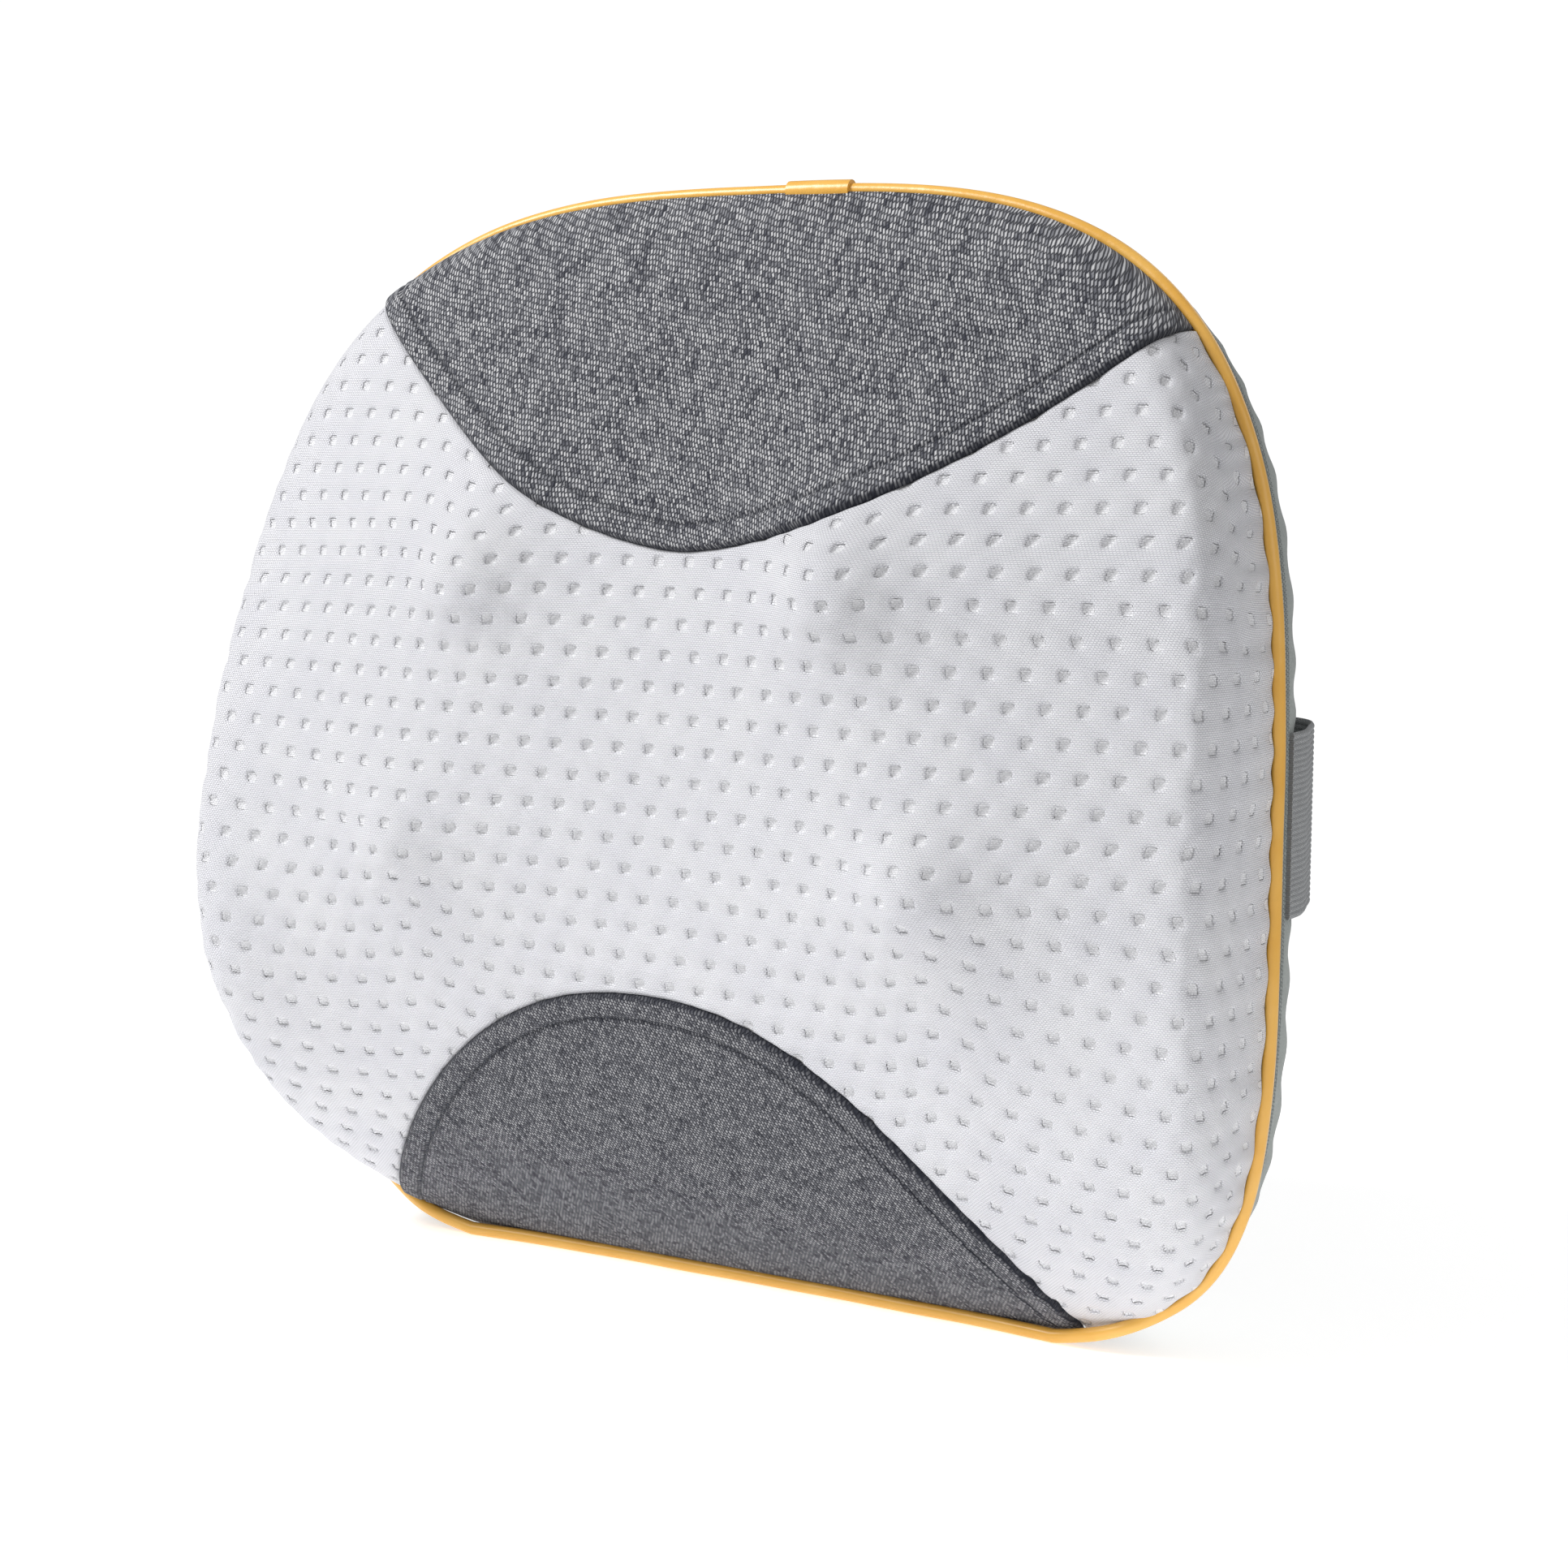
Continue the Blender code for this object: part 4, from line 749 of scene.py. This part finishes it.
def make_metal(name, dark, light, roughness, stretch=(1.0, 1.0, 1.0)):
    """Machined or plated metal: fine tool lines in the gloss."""
    made, tree, shader = start_material(name, Metallic=1.0, Roughness=roughness)
    place = mapped(tree, place_of(tree), stretch)
    lines = noise(tree, place, 1200.0, 3.0, 0.6)
    paint(tree, shader, colour_ramp(tree, lines, ((0.3, dark), (0.7, light))))
    vary_gloss(tree, shader, roughness, lines, 0.08)
    bumped(tree, shader, lines, 0.00003, 0.4)
    return made


def make_board_finish():
    """Green solder mask over copper tracks: gloss, with lighter lines where the copper is."""
    made, tree, shader = start_material("solder_masked_circuit_board", Roughness=0.3)
    tracks = node(tree, "ShaderNodeTexBrick", {
        "Vector": place_of(tree), "Color1": linear("#0F4A2A"),
        "Color2": linear("#13522F"), "Mortar": linear("#2C7A4B"), "Scale": 1.0,
        "Mortar Size": 0.0004, "Brick Width": 0.009, "Row Height": 0.004,
    })
    paint(tree, shader, tracks.outputs["Color"])
    bumped(tree, shader, tracks.outputs["Fac"], 0.00004, 0.6)
    return made


SPACER_KNIT = make_spacer_knit()
GREY_WEAVE = make_melange("woven_polyester_melange", "#CBCBCD", "#97989D", "#383A45")
# The lower panel is the same melange in darker colours: painted shade, as it faces down, away from
# the light.
SHADED_LOWER_WEAVE = make_melange("woven_polyester_melange_shaded", "#A9A9AC", "#75767C", "#2B2D37")
FELT = make_felt()
PIPING_SKIN = make_piping()
TAPE_WEAVE = make_tape()
STRAP_WEAVE = make_strap_weave()
SEAM_THREAD = make_thread("navy_sewing_thread", "#3C424F", "#23262F")
COIL_NYLON = make_moulded("nylon_zip_coil", "#3E4242", "#4B5050", 0.45, Specular_IOR_Level=0.5)

CAD_FINISHES = {
    "zip_metal": make_metal("nickel_plated_zinc", "#8F9291", "#B2B5B4", 0.30),
    "shell_plastic": make_moulded("moulded_grey_abs", "#A2A4A5", "#ACAEAF", 0.50),
    "dark_plastic": make_moulded("glass_filled_nylon", "#1F2023", "#292A2E", 0.55),
    "wheel_plastic": make_moulded("natural_acetal", "#DDD8C6", "#E6E1D0", 0.38),
    "head_plastic": make_moulded("translucent_red_polycarbonate", "#8E2A1A", "#A13322", 0.25,
                                 900.0, Subsurface_Weight=0.25),
    "steel": make_metal("turned_steel", "#9C9D9F", "#BEBFC1", 0.32, (0.15, 1.0, 1.0)),
    "motor_steel": make_metal("zinc_plated_steel", "#A5A7A9", "#C3C5C7", 0.36),
    "bronze": make_metal("sintered_bronze", "#A67B3E", "#BE9352", 0.48),
    "board": make_board_finish(),
    "button_plastic": make_moulded("satin_grey_abs_button", "#C2C3C6", "#CDCED1", 0.35),
    "bezel_plastic": make_moulded("moulded_dark_abs_bezel", "#4A4D4E", "#565959", 0.45),
    "black_plastic": make_moulded("moulded_black_pbt", "#131314", "#1C1C1E", 0.42),
}


def dress_cad_nodes():
    slots = {row["node"]: row["material_slot"] for row in frame["record"]["subparts"]}
    for name, made in frame["nodes"].items():
        finish = CAD_FINISHES.get(slots[name])
        if finish:
            made.data.materials.clear()
            made.data.materials.append(finish)


# ---- front cover
PANEL_COLUMNS = 600
PANEL_ROWS = 400
SEAM_TUCK = 0.004  # how far the white fabric runs on under the grey panels
DIMPLE_DIP = 0.00050  # the cloth round a dimple is drawn in too
DIMPLE_DIP_REACH = 2.1  # in half widths
EDGE_FADE = 0.002  # the relief dies out this close to the piping
SEAM_FADE = 0.004
SEAM_RELIEF = 0.2  # share of a dimple's depth left at a seam
UNDER_HEM = 0.0016  # the white fabric drops this far under the grey panels
UNDER_HEM_BLEND = 0.0012
GATHER_PITCH = 0.013
GATHER_RISE = 0.0007
GATHER_DROP = 0.0004
HEM_WIDTH = 0.0070
HEM_RISE = 0.0015
HEM_ROLL = 0.0016
HEM_TUCK = 0.0009  # the folded edge turns under by this much
HEM_TUCK_WIDTH = 0.0010
GROOVE_DEPTH = 0.0009  # drawn in along the stitch line
GROOVE_WIDTH = 0.0007
PANEL_DROP = 0.0006  # the single layer beyond the hem lies lower
PANEL_FADE = 0.003
GROOVE_SHADE = 0.55
EDGE_SHADE = 0.9
EDGE_SHADE_WIDTH = 0.0009
WEAVE_HEIGHTS = (0.004, 0.314)  # past these the outline closes in too fast to measure
STITCH = 0.0032
STITCH_POINTS = 8
STITCH_RISE = 0.00045
STITCH_STAND_OFF = 0.0001
STITCH_END = 0.985  # the stitching stops short of the piping
THREAD_RADIUS = 0.00028


def seam_height(x, upper):
    tips, (middle_x, middle_z), power = (
        (UPPER_TIPS, UPPER_LOW, UPPER_POWER) if upper else (LOWER_TIPS, LOWER_HIGH, LOWER_POWER)
    )
    found = middle_z
    for tip_x, tip_z in tips:
        share = np.maximum(0, (x - middle_x) / (tip_x - middle_x))
        found = found + (tip_z - middle_z) * share**power
    return found


AROUND = np.roll(outline(0.0, 0.0, 7200), 1800, axis=0)  # anticlockwise from its lowest point
AROUND_STEP = np.linalg.norm(AROUND[1] - AROUND[0])


def seam_end(side, upper):
    """Index of the outline point where a grey panel's seam meets the piping."""
    x, z = AROUND.T
    wrong = (x * side < 0.08) | ((z < 0.2) if upper else (z > 0.1))
    return int(np.argmin(np.abs(z - seam_height(x, upper)) + wrong))


def side_path(side, run_on):
    """One side of the outline, from the lower panel's tip to the upper panel's."""
    more = int(run_on / AROUND_STEP)
    first, last = sorted((seam_end(side, False), seam_end(side, True)))
    part = AROUND[first - more:last + 1 + more]
    return part if side > 0 else part[::-1]


def panel_edge(upper):
    """The outline between a grey panel's tips, from left to right."""
    left, right = seam_end(-1, upper), seam_end(1, upper)
    if upper:
        return AROUND[right:left + 1][::-1]
    return np.concatenate([AROUND[left:], AROUND[:right + 1]])


def dimple_share(u, v):
    """1 on a dimple's floor and 0 on the level cloth, and nearness to a dimple's middle."""
    row = np.rint(v / DIMPLE_ROW)
    shift = np.where(row % 2 == 0, 0.0, 0.5) * DIMPLE_PITCH
    du = u - shift - np.rint((u - shift) / DIMPLE_PITCH) * DIMPLE_PITCH
    dv = v - row * DIMPLE_ROW
    away = (np.abs(du / DIMPLE_HALF) ** 4 + np.abs(dv / DIMPLE_HALF) ** 4) ** 0.25
    around = np.exp(-((np.hypot(du, dv) / (DIMPLE_DIP_REACH * DIMPLE_HALF)) ** 2))
    return 1 - smooth(*DIMPLE_RIM, away), around


def make_front_mesh():
    left = resample(side_path(-1, SEAM_TUCK), PANEL_ROWS + 1)
    right = resample(side_path(1, SEAM_TUCK), PANEL_ROWS + 1)
    t = np.linspace(0, 1, PANEL_ROWS + 1)[:, None]
    middle_x = LOWER_HIGH[0] * (1 - t) + UPPER_LOW[0] * t
    middle_z = (LOWER_HIGH[1] - SEAM_TUCK) * (1 - t) + (UPPER_LOW[1] + SEAM_TUCK) * t
    power = LOWER_POWER * (1 - t) + UPPER_POWER * t
    share = np.linspace(-1, 1, 1801)[None, :]
    end_x = np.where(share < 0, left[:, :1], right[:, :1])
    end_z = np.where(share < 0, left[:, 1:], right[:, 1:])
    x = middle_x + (end_x - middle_x) * np.abs(share)
    z = middle_z + (end_z - middle_z) * np.abs(share) ** power
    x, z = even_rows(x, z, PANEL_COLUMNS)
    mesh, _, _ = patch("front_mesh_fabric", x, front_y(x, z), z)
    close_mesh(mesh, Vector((0, -1, 0)))
    px, _, pz = vertex_places(mesh).T
    u, v = fabric_across(px, pz), sample(LENGTHS_UP, px, pz)
    dimple, around = dimple_share(u, v)
    edge, _ = edge_distance(px, pz)
    near_edge = np.sqrt(np.clip(edge / EDGE_FADE, 0, 1))
    beyond = np.maximum(pz - seam_height(px, True), seam_height(px, False) - pz)
    from_seam = smooth(0.0, SEAM_FADE, -beyond)
    height = -DIMPLE_DEPTH * dimple * near_edge * np.clip(from_seam + SEAM_RELIEF, 0, 1)
    height -= DIMPLE_DIP * around * near_edge
    height -= UNDER_HEM * smooth(-UNDER_HEM_BLEND, UNDER_HEM_BLEND, beyond)
    # The cloth is gathered unevenly where it meets the piping.
    gather = 0.5 + 0.5 * np.sin(pz * 2 * math.pi / GATHER_PITCH + 3 * np.sin(pz * 37))
    height += GATHER_RISE * gather * (1 - near_edge) - GATHER_DROP * (1 - near_edge)
    raise_along_normals(mesh, height)
    set_uv(mesh, u, v)
    made = add_piece("front_mesh_fabric", mesh, SPACER_KNIT)
    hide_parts("front_mesh_panel", "inner_liner")


def make_grey_panel(name, upper, node_name):
    columns = 300
    rows = 150
    edge = resample(panel_edge(upper), columns + 1)
    seam_x = np.linspace(edge[0, 0], edge[-1, 0], 2001)
    seam = resample(np.stack([seam_x, seam_height(seam_x, upper)], 1), columns + 1)
    t = np.linspace(0, 1, 901)[None, :]
    # Each row of the patch runs straight from the seam to the piping.
    x = seam[:, :1] * (1 - t) + edge[:, :1] * t
    z = seam[:, 1:] * (1 - t) + edge[:, 1:] * t
    x, z = even_rows(x, z, rows)
    mesh, row, column = patch(name, x, front_y(x, z), z)
    across_low = np.abs(seam_height(x, upper) - z)
    slope = np.gradient(seam[:, 1]) / np.maximum(np.gradient(seam[:, 0]), 1e-9)
    square = (across_low / np.sqrt(1 + slope[:, None] ** 2))[row, column]
    set_value(mesh, "from_seam", square)
    close_mesh(mesh, Vector((0, -1, 0)))
    px, py, pz = vertex_places(mesh).T
    d = np.empty(len(px), np.float32)
    mesh.attributes["from_seam"].data.foreach_get("value", d)
    edge_gap, _ = edge_distance(px, pz)
    near_edge = np.sqrt(np.clip(edge_gap / PANEL_FADE, 0, 1))
    height = HEM_RISE * rounded(d / HEM_ROLL) - HEM_TUCK * (1 - rounded(d / HEM_TUCK_WIDTH))
    groove = np.exp(-(((d - HEM_WIDTH) / GROOVE_WIDTH) ** 2))
    height -= GROOVE_DEPTH * groove
    height -= PANEL_DROP * smooth(HEM_WIDTH, HEM_WIDTH + PANEL_FADE, d)
    edge_shade = EDGE_SHADE * np.exp(-((d / EDGE_SHADE_WIDTH) ** 2))
    set_value(mesh, "shade", np.maximum(GROOVE_SHADE * groove, edge_shade))
    raise_along_normals(mesh, height * near_edge)
    set_uv(mesh, fabric_across(px, np.clip(pz, *WEAVE_HEIGHTS)), pz - py * 0.5)
    made = add_piece(name, mesh, GREY_WEAVE if upper else SHADED_LOWER_WEAVE)
    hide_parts(node_name)
    make_topstitch(f"{name}_topstitch", upper)


def make_topstitch(name, upper):
    """One line of lockstitch along the hem, dipping into the cloth at each hole."""
    ends = panel_edge(upper)
    x = np.linspace(ends[0, 0], ends[-1, 0], 4001)
    z = seam_height(x, upper)
    slope = np.gradient(z, x)
    out = (1 if upper else -1) * HEM_WIDTH / np.sqrt(1 + slope**2)
    line = np.stack([x - slope * out, z + out], 1)
    line = line[outline_ratio(line[:, 0], line[:, 1]) < STITCH_END]
    y = front_y(line[:, 0], line[:, 1])
    path = np.stack([line[:, 0], y, line[:, 1]], 1)
    length = np.linalg.norm(np.diff(path, axis=0), axis=1).sum()
    count = int(length / STITCH) * STITCH_POINTS
    path = resample(path, count)
    phase = np.arange(count) * 2 * math.pi / STITCH_POINTS
    lift = STITCH_RISE * np.clip(0.35 + np.cos(phase), -1, 1)
    path[:, 1] -= lift + STITCH_STAND_OFF
    made = add_piece(name, tube_mesh(name, path, THREAD_RADIUS, 6, False), SEAM_THREAD)


# ---- piping and zip
PIPING_ROLL = 0.0065
ROLL_HEIGHTS = (0.004, 0.016)  # the roll ends between these
SEWN_WANDER = 0.00025
TAB_X = 0.019
TAB_LENGTH = 0.022
TAB_RADIUS = 0.0030
COIL_RADIUS = 0.0011
COIL_PITCH = 0.0017
WIRE_RADIUS = 0.00042
COIL_FLOOR_GAP = 0.0004
TAPE_CROWN = 0.0002
TAPE_THICKNESS = 0.0011


def make_piping_pieces():
    count = 900
    points = outline(-PIPING_PROUD, PIPING_RADIUS, count)
    y = seam_y(points[:, 0]) + PIPING_BEHIND
    # Along the base the cord rolls forward under the front. Sewn cord is never quite even.
    y = y - PIPING_ROLL * (1 - smooth(*ROLL_HEIGHTS, points[:, 1]))
    turn = np.arange(count) * 2 * math.pi / count
    y = y + SEWN_WANDER * np.sin(23 * turn) * np.sin(7 * turn + 1)
    path = np.stack([points[:, 0], y, points[:, 1]], 1)
    cord = tube_mesh("piping_cord", path, PIPING_RADIUS, 16, True)
    made = add_piece("piping_cord", cord, PIPING_SKIN)
    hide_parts("piping")
    start = np.argmin(np.abs(path[:, 0] - TAB_X) + (path[:, 2] < WIDEST_HEIGHT))
    step = np.linalg.norm(path[1] - path[0])
    half = int(TAB_LENGTH / 2 / step)
    sleeve = resample(path[start - half:start + half + 1], 40)
    sleeve = tube_mesh("piping_joint_wrap", sleeve, TAB_RADIUS, 16, False)
    made = add_piece("piping_joint_wrap", sleeve, PIPING_SKIN, angle=50)
    rounding = made.modifiers.new("soft end", "BEVEL")
    rounding.width = 0.0005
    rounding.segments = 2
    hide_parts("piping_joint_tab")


def make_zip_pieces():
    count = 900
    for name, start in (("front_zip_tape", ZIP_START), ("rear_zip_tape", REAR_TAPE_START)):
        end = start + ZIP_TAPE_WIDTH
        middle = (start + end) / 2
        profile = [
            (start, ZIP_INSET + TAPE_CROWN), (middle, ZIP_INSET), (end, ZIP_INSET + TAPE_CROWN),
            (end, ZIP_INSET + TAPE_THICKNESS), (start, ZIP_INSET + TAPE_THICKNESS),
        ]
        cloth = band_mesh(f"{name}_cloth", profile, count)
        made = add_piece(f"{name}_cloth", cloth, TAPE_WEAVE, angle=50)
        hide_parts(name)
    turns_each = 10
    rail = outline(ZIP_INSET + COIL_RADIUS, ZIP_INSET + COIL_RADIUS + COIL_FLOOR_GAP, 2400)
    whole = np.linalg.norm(np.diff(rail, axis=0), axis=1).sum()
    turns = int(whole / COIL_PITCH)
    rail = resample(np.concatenate([rail, rail[:1]]), turns * turns_each + 1)[:-1]
    ahead = np.roll(rail, -1, 0) - np.roll(rail, 1, 0)
    ahead /= np.linalg.norm(ahead, axis=1)[:, None]
    phase = np.arange(len(rail)) * 2 * math.pi / turns_each
    outward = np.cos(phase) * (COIL_RADIUS - WIRE_RADIUS)
    across = np.sin(phase) * (COIL_RADIUS - WIRE_RADIUS)
    x = rail[:, 0] + ahead[:, 1] * outward
    z = rail[:, 1] - ahead[:, 0] * outward
    y = seam_y(rail[:, 0]) + COIL_CENTRE + across
    path = np.stack([x, y, np.maximum(z, WIRE_RADIUS)], 1)
    wire = tube_mesh("zip_coil_wire", path, WIRE_RADIUS, 6, True)
    made = add_piece("zip_coil_wire", wire, COIL_NYLON)
    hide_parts("zip_coil")


# ---- back and strap
SIDE_FITTING_INSET = 0.006
FITTINGS = ((0.205, 0.0093), (0.100, 0.0059))  # height and hole radius: button, socket
HOLE_DEPTH = 0.02
HOLE_COLLAR = 0.004
RIM_LIP = 0.004
RIM_TURN = 0.0015
PUCKER = 0.0005
PUCKER_REACH = 0.010
SLACK = 0.0006
STRAP_STAND_OFF = 0.0065
STRAP_SIDE_REACH = 0.0245
STRAP_CORNER_RADIUS = 0.014
STRAP_FLAT_X = 0.085
RIB_PITCH = 0.0015
RIB_HEIGHT = 0.00028


def fitting_place(height):
    x = SIDE_FITTING_INSET - (half_width_at(np.array(height)) - BACK_INSET)
    step = 0.001
    near = back_y(np.array(x - step), np.array(height))
    far = back_y(np.array(x + step), np.array(height))
    axis = Vector((float(near - far), 2 * step, 0)).normalized()
    return Vector((float(x), float(near + far) / 2, height)), axis


def open_hole(mesh, place, axis, radius):
    """A round hole: faces inside it go, and the edge left behind is drawn onto the circle."""
    bm = bmesh.new()
    bm.from_mesh(mesh)
    inside = []
    for vert in bm.verts:
        offset = vert.co - place
        flat = offset - axis * offset.dot(axis)
        if flat.length < radius and abs(offset.dot(axis)) < HOLE_DEPTH:
            inside.append(vert)
    bmesh.ops.delete(bm, geom=inside, context="VERTS")
    for vert in bm.verts:
        offset = vert.co - place
        flat = offset - axis * offset.dot(axis)
        near = flat.length < radius + HOLE_COLLAR and abs(offset.dot(axis)) < HOLE_DEPTH
        if vert.is_boundary and near:
            vert.co += flat.normalized() * (radius - flat.length)
    bm.to_mesh(mesh)
    bm.free()


def make_back():
    around = 720
    inward = 150
    rim = outline(BACK_INSET, BACK_INSET, around)
    rim = np.concatenate([rim, rim[:1]])
    from_centre = rim - np.array([0, WIDEST_HEIGHT])
    shares = 1 - np.linspace(0, 1, inward) ** 1.5
    edge_y = seam_y(rim[:, 0]) + REAR_RIM
    scale = 1 - RIM_LIP / np.linalg.norm(from_centre, axis=1)
    lip_x, lip_z = rim[:, 0] * scale, WIDEST_HEIGHT + from_centre[:, 1] * scale
    rows = [(lip_x, edge_y + RIM_TURN, lip_z), (lip_x, edge_y, lip_z)]
    rows.append((rim[:, 0], edge_y, rim[:, 1]))
    down = np.maximum(0, -from_centre[:, 1]) / np.linalg.norm(from_centre, axis=1)
    start = edge_y + BASE_BAND * down**4
    for step in (0.35, 0.7):
        rows.append((rim[:, 0], edge_y + (start - edge_y) * step, rim[:, 1]))
    for share in shares:
        x = from_centre[:, 0] * share
        z = WIDEST_HEIGHT + from_centre[:, 1] * share
        rows.append((x, back_y(x, z), z))
    mesh, _, _ = patch("back_cover_cloth", *zip(*rows))
    close_mesh(mesh, Vector((0, 1, 0)))
    px, _, pz = vertex_places(mesh).T
    edge, _ = edge_distance(px, pz, BACK_INSET)
    turn = np.arctan2(pz - WIDEST_HEIGHT, px)
    fade = np.exp(-edge / PUCKER_REACH) * smooth(0, EDGE_FADE, edge)
    pucker = PUCKER * np.sin(turn * 78 + 2 * np.sin(turn * 9)) * fade
    slack = SLACK * np.sin(px * 55 + 1) * np.sin(pz * 43) * smooth(0.01, 0.05, edge)
    raise_along_normals(mesh, pucker - np.abs(slack))
    for height, radius in FITTINGS:
        place, axis = fitting_place(height)
        open_hole(mesh, place, axis, radius)
    made = add_piece("back_cover_cloth", mesh, FELT)
    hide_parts("back_cover")


def strap_plan(offset):
    """Plan view of the strap's middle, from its left seam round the back to its right seam."""
    anchor_y = SEAM_SIDE_Y + REAR_RIM
    side_x = WIDTH / 2 - 0.0015 + offset
    back = BACK_Y + STRAP_STAND_OFF + offset
    radius = STRAP_CORNER_RADIUS + offset
    bend = (side_x - 0.003 - radius, anchor_y + STRAP_SIDE_REACH - 0.001)
    slope = math.atan2(back - (bend[1] + radius * 0.7), bend[0] - STRAP_FLAT_X)
    turn = (math.pi / 2 - slope) * np.linspace(0, 1, 25)
    points = [(side_x, anchor_y + 0.001), (side_x + 0.0008, anchor_y + 0.010)]
    points += list(zip(bend[0] + radius * np.cos(turn), bend[1] + radius * np.sin(turn)))
    points += [(STRAP_FLAT_X, back)]
    points += [(0.0, back + 0.0002)]
    right = resample(np.array(points), 260)
    for _ in range(40):
        right[1:-1] = (right[:-2] + 2 * right[1:-1] + right[2:]) / 4
    left = right * np.array([-1, 1])
    return np.concatenate([left, right[-2::-1]])


def make_strap():
    count = 500
    plan = resample(strap_plan(STRAP_THICKNESS / 2), count)
    ahead = np.gradient(plan, axis=0)
    ahead /= np.linalg.norm(ahead, axis=1)[:, None]
    out = np.stack([-ahead[:, 1], ahead[:, 0]], 1)
    if out[count // 2, 1] < 0:
        out = -out
    steps = 200
    across = np.linspace(-0.5, 0.5, steps) * STRAP_WIDTH
    rib = np.abs(np.cos(across * math.pi / RIB_PITCH))
    edge = rounded((STRAP_WIDTH / 2 - np.abs(across)) / 0.0007)
    half = (STRAP_THICKNESS / 2 - RIB_HEIGHT * (1 - rib)) * (0.35 + 0.65 * edge)
    xs, ys, zs = [], [], []
    around = [*zip(across, half), *zip(across[::-1], -half[::-1])]
    for a, h in [*around, around[0]]:
        xs.append(plan[:, 0] + out[:, 0] * h)
        ys.append(plan[:, 1] + out[:, 1] * h)
        zs.append(np.full(count, STRAP_HEIGHT + a))
    mesh, row, column = patch("elastic_strap_webbing", xs, ys, zs)
    length = np.linalg.norm(np.diff(plan, axis=0), axis=1).sum()
    height = np.array(zs)[row, column]
    set_uv(mesh, height, column / count * length)
    set_value(mesh, "rib", 1 - np.abs(np.cos((height - STRAP_HEIGHT) * math.pi / RIB_PITCH)))
    close_mesh(mesh)
    bm = bmesh.new()
    bm.from_mesh(mesh)
    bmesh.ops.holes_fill(bm, edges=bm.edges, sides=0)
    bmesh.ops.recalc_face_normals(bm, faces=bm.faces)
    bm.to_mesh(mesh)
    bm.free()
    made = add_piece("elastic_strap_webbing", mesh, STRAP_WEAVE, angle=60)
    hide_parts("elastic_strap")


# ---- the studio
CAMERA_TARGET = Vector((0, -0.005, 0.160))
CAMERA_DISTANCE = 0.819
CAMERA_AZIMUTH = math.radians(30.9)
CAMERA_ELEVATION = math.radians(7.4)
CAMERA_LENS = 65.217  # mm, for a sensor 36 mm wide
CAMERA_SHIFT = (0.0331, -0.0181)
LIGHT_AIM = Vector((0, 0, 0.15))
LIGHTS = (  # direction, distance and diameter in metres, watts
    ("key", (-0.52, -0.50, 0.72), 1.3, 0.5, 14.5),
    ("fill", (0.85, -0.40, 0.40), 1.6, 1.2, 4.4),
    ("rear", (0.3, 0.9, 0.6), 1.6, 1.0, 3.0),
)
SURROUND_LIGHT = 0.34
SURROUND_SEEN = 0.70  # added where the camera looks straight at the surround
FLOOR_HALF = 6.0
FLOOR_GLOW = 0.56
FLOOR_FADE = (0.30, 0.62)  # the floor thins out into the pale surround


def make_camera():
    data = bpy.data.cameras.new("camera")
    data.lens = CAMERA_LENS
    data.sensor_width = 36.0
    data.shift_x, data.shift_y = CAMERA_SHIFT
    data.dof.use_dof = False
    data.clip_start = 0.01
    away = Vector((
        math.sin(CAMERA_AZIMUTH) * math.cos(CAMERA_ELEVATION),
        -math.cos(CAMERA_AZIMUTH) * math.cos(CAMERA_ELEVATION),
        math.sin(CAMERA_ELEVATION),
    ))
    made = new_object("camera", data)
    made.location = CAMERA_TARGET + away * CAMERA_DISTANCE
    made.rotation_euler = away.to_track_quat("Z", "Y").to_euler()
    bpy.context.scene.camera = made


def make_light(name, towards, distance, size, power):
    data = bpy.data.lights.new(name, "AREA")
    data.shape = "DISK"
    data.size = size
    data.energy = power
    made = new_object(name, data)
    direction = Vector(towards).normalized()
    made.location = LIGHT_AIM + direction * distance
    made.rotation_euler = direction.to_track_quat("Z", "Y").to_euler()


def make_floor():
    mesh = grid_mesh("floor", 1, 1, FLOOR_HALF)
    floor_material, tree, shader = start_material("matt_white_floor", Roughness=0.9)
    tint = noise(tree, place_of(tree), 2.0)
    paint(tree, shader, colour_ramp(tree, tint, ((0.3, "#F6F6F6"), (0.7, "#F9F9F9"))))
    shader.inputs["Emission Color"].default_value = (1, 1, 1, 1)
    shader.inputs["Emission Strength"].default_value = FLOOR_GLOW
    away = node(
        tree, "ShaderNodeVectorMath", {0: place_of(tree)}, operation="LENGTH"
    ).outputs["Value"]
    fade = node(tree, "ShaderNodeMapRange", {
        "Value": away, "From Min": FLOOR_FADE[0], "From Max": FLOOR_FADE[1],
    }, interpolation_type="SMOOTHERSTEP").outputs["Result"]
    clear = node(tree, "ShaderNodeBsdfTransparent").outputs[0]
    both = node(tree, "ShaderNodeMixShader", {0: fade, 1: shader.outputs[0], 2: clear}).outputs[0]
    tree.links.new(both, tree.nodes["Material Output"].inputs["Surface"])
    mesh.materials.append(floor_material)
    floor = new_object("floor", mesh)


def make_surround():
    world = bpy.data.worlds.new("studio")
    bpy.context.scene.world = world
    world.use_nodes = True
    tree = world.node_tree
    seen = node(tree, "ShaderNodeLightPath").outputs["Is Camera Ray"]
    strength = maths(tree, "ADD", SURROUND_LIGHT, times(tree, seen, SURROUND_SEEN))
    background = tree.nodes["Background"]
    background.inputs["Color"].default_value = (1, 1, 1, 1)
    tree.links.new(strength, background.inputs["Strength"])
    bpy.context.scene.view_settings.view_transform = "Standard"


make_front_mesh()
make_grey_panel("upper_grey_panel_cloth", True, "upper_grey_panel")
make_grey_panel("lower_grey_panel_cloth", False, "lower_grey_panel")
make_piping_pieces()
make_zip_pieces()
make_back()
make_strap()
dress_cad_nodes()
for light in LIGHTS:
    make_light(*light)
make_floor()
make_surround()
make_camera()
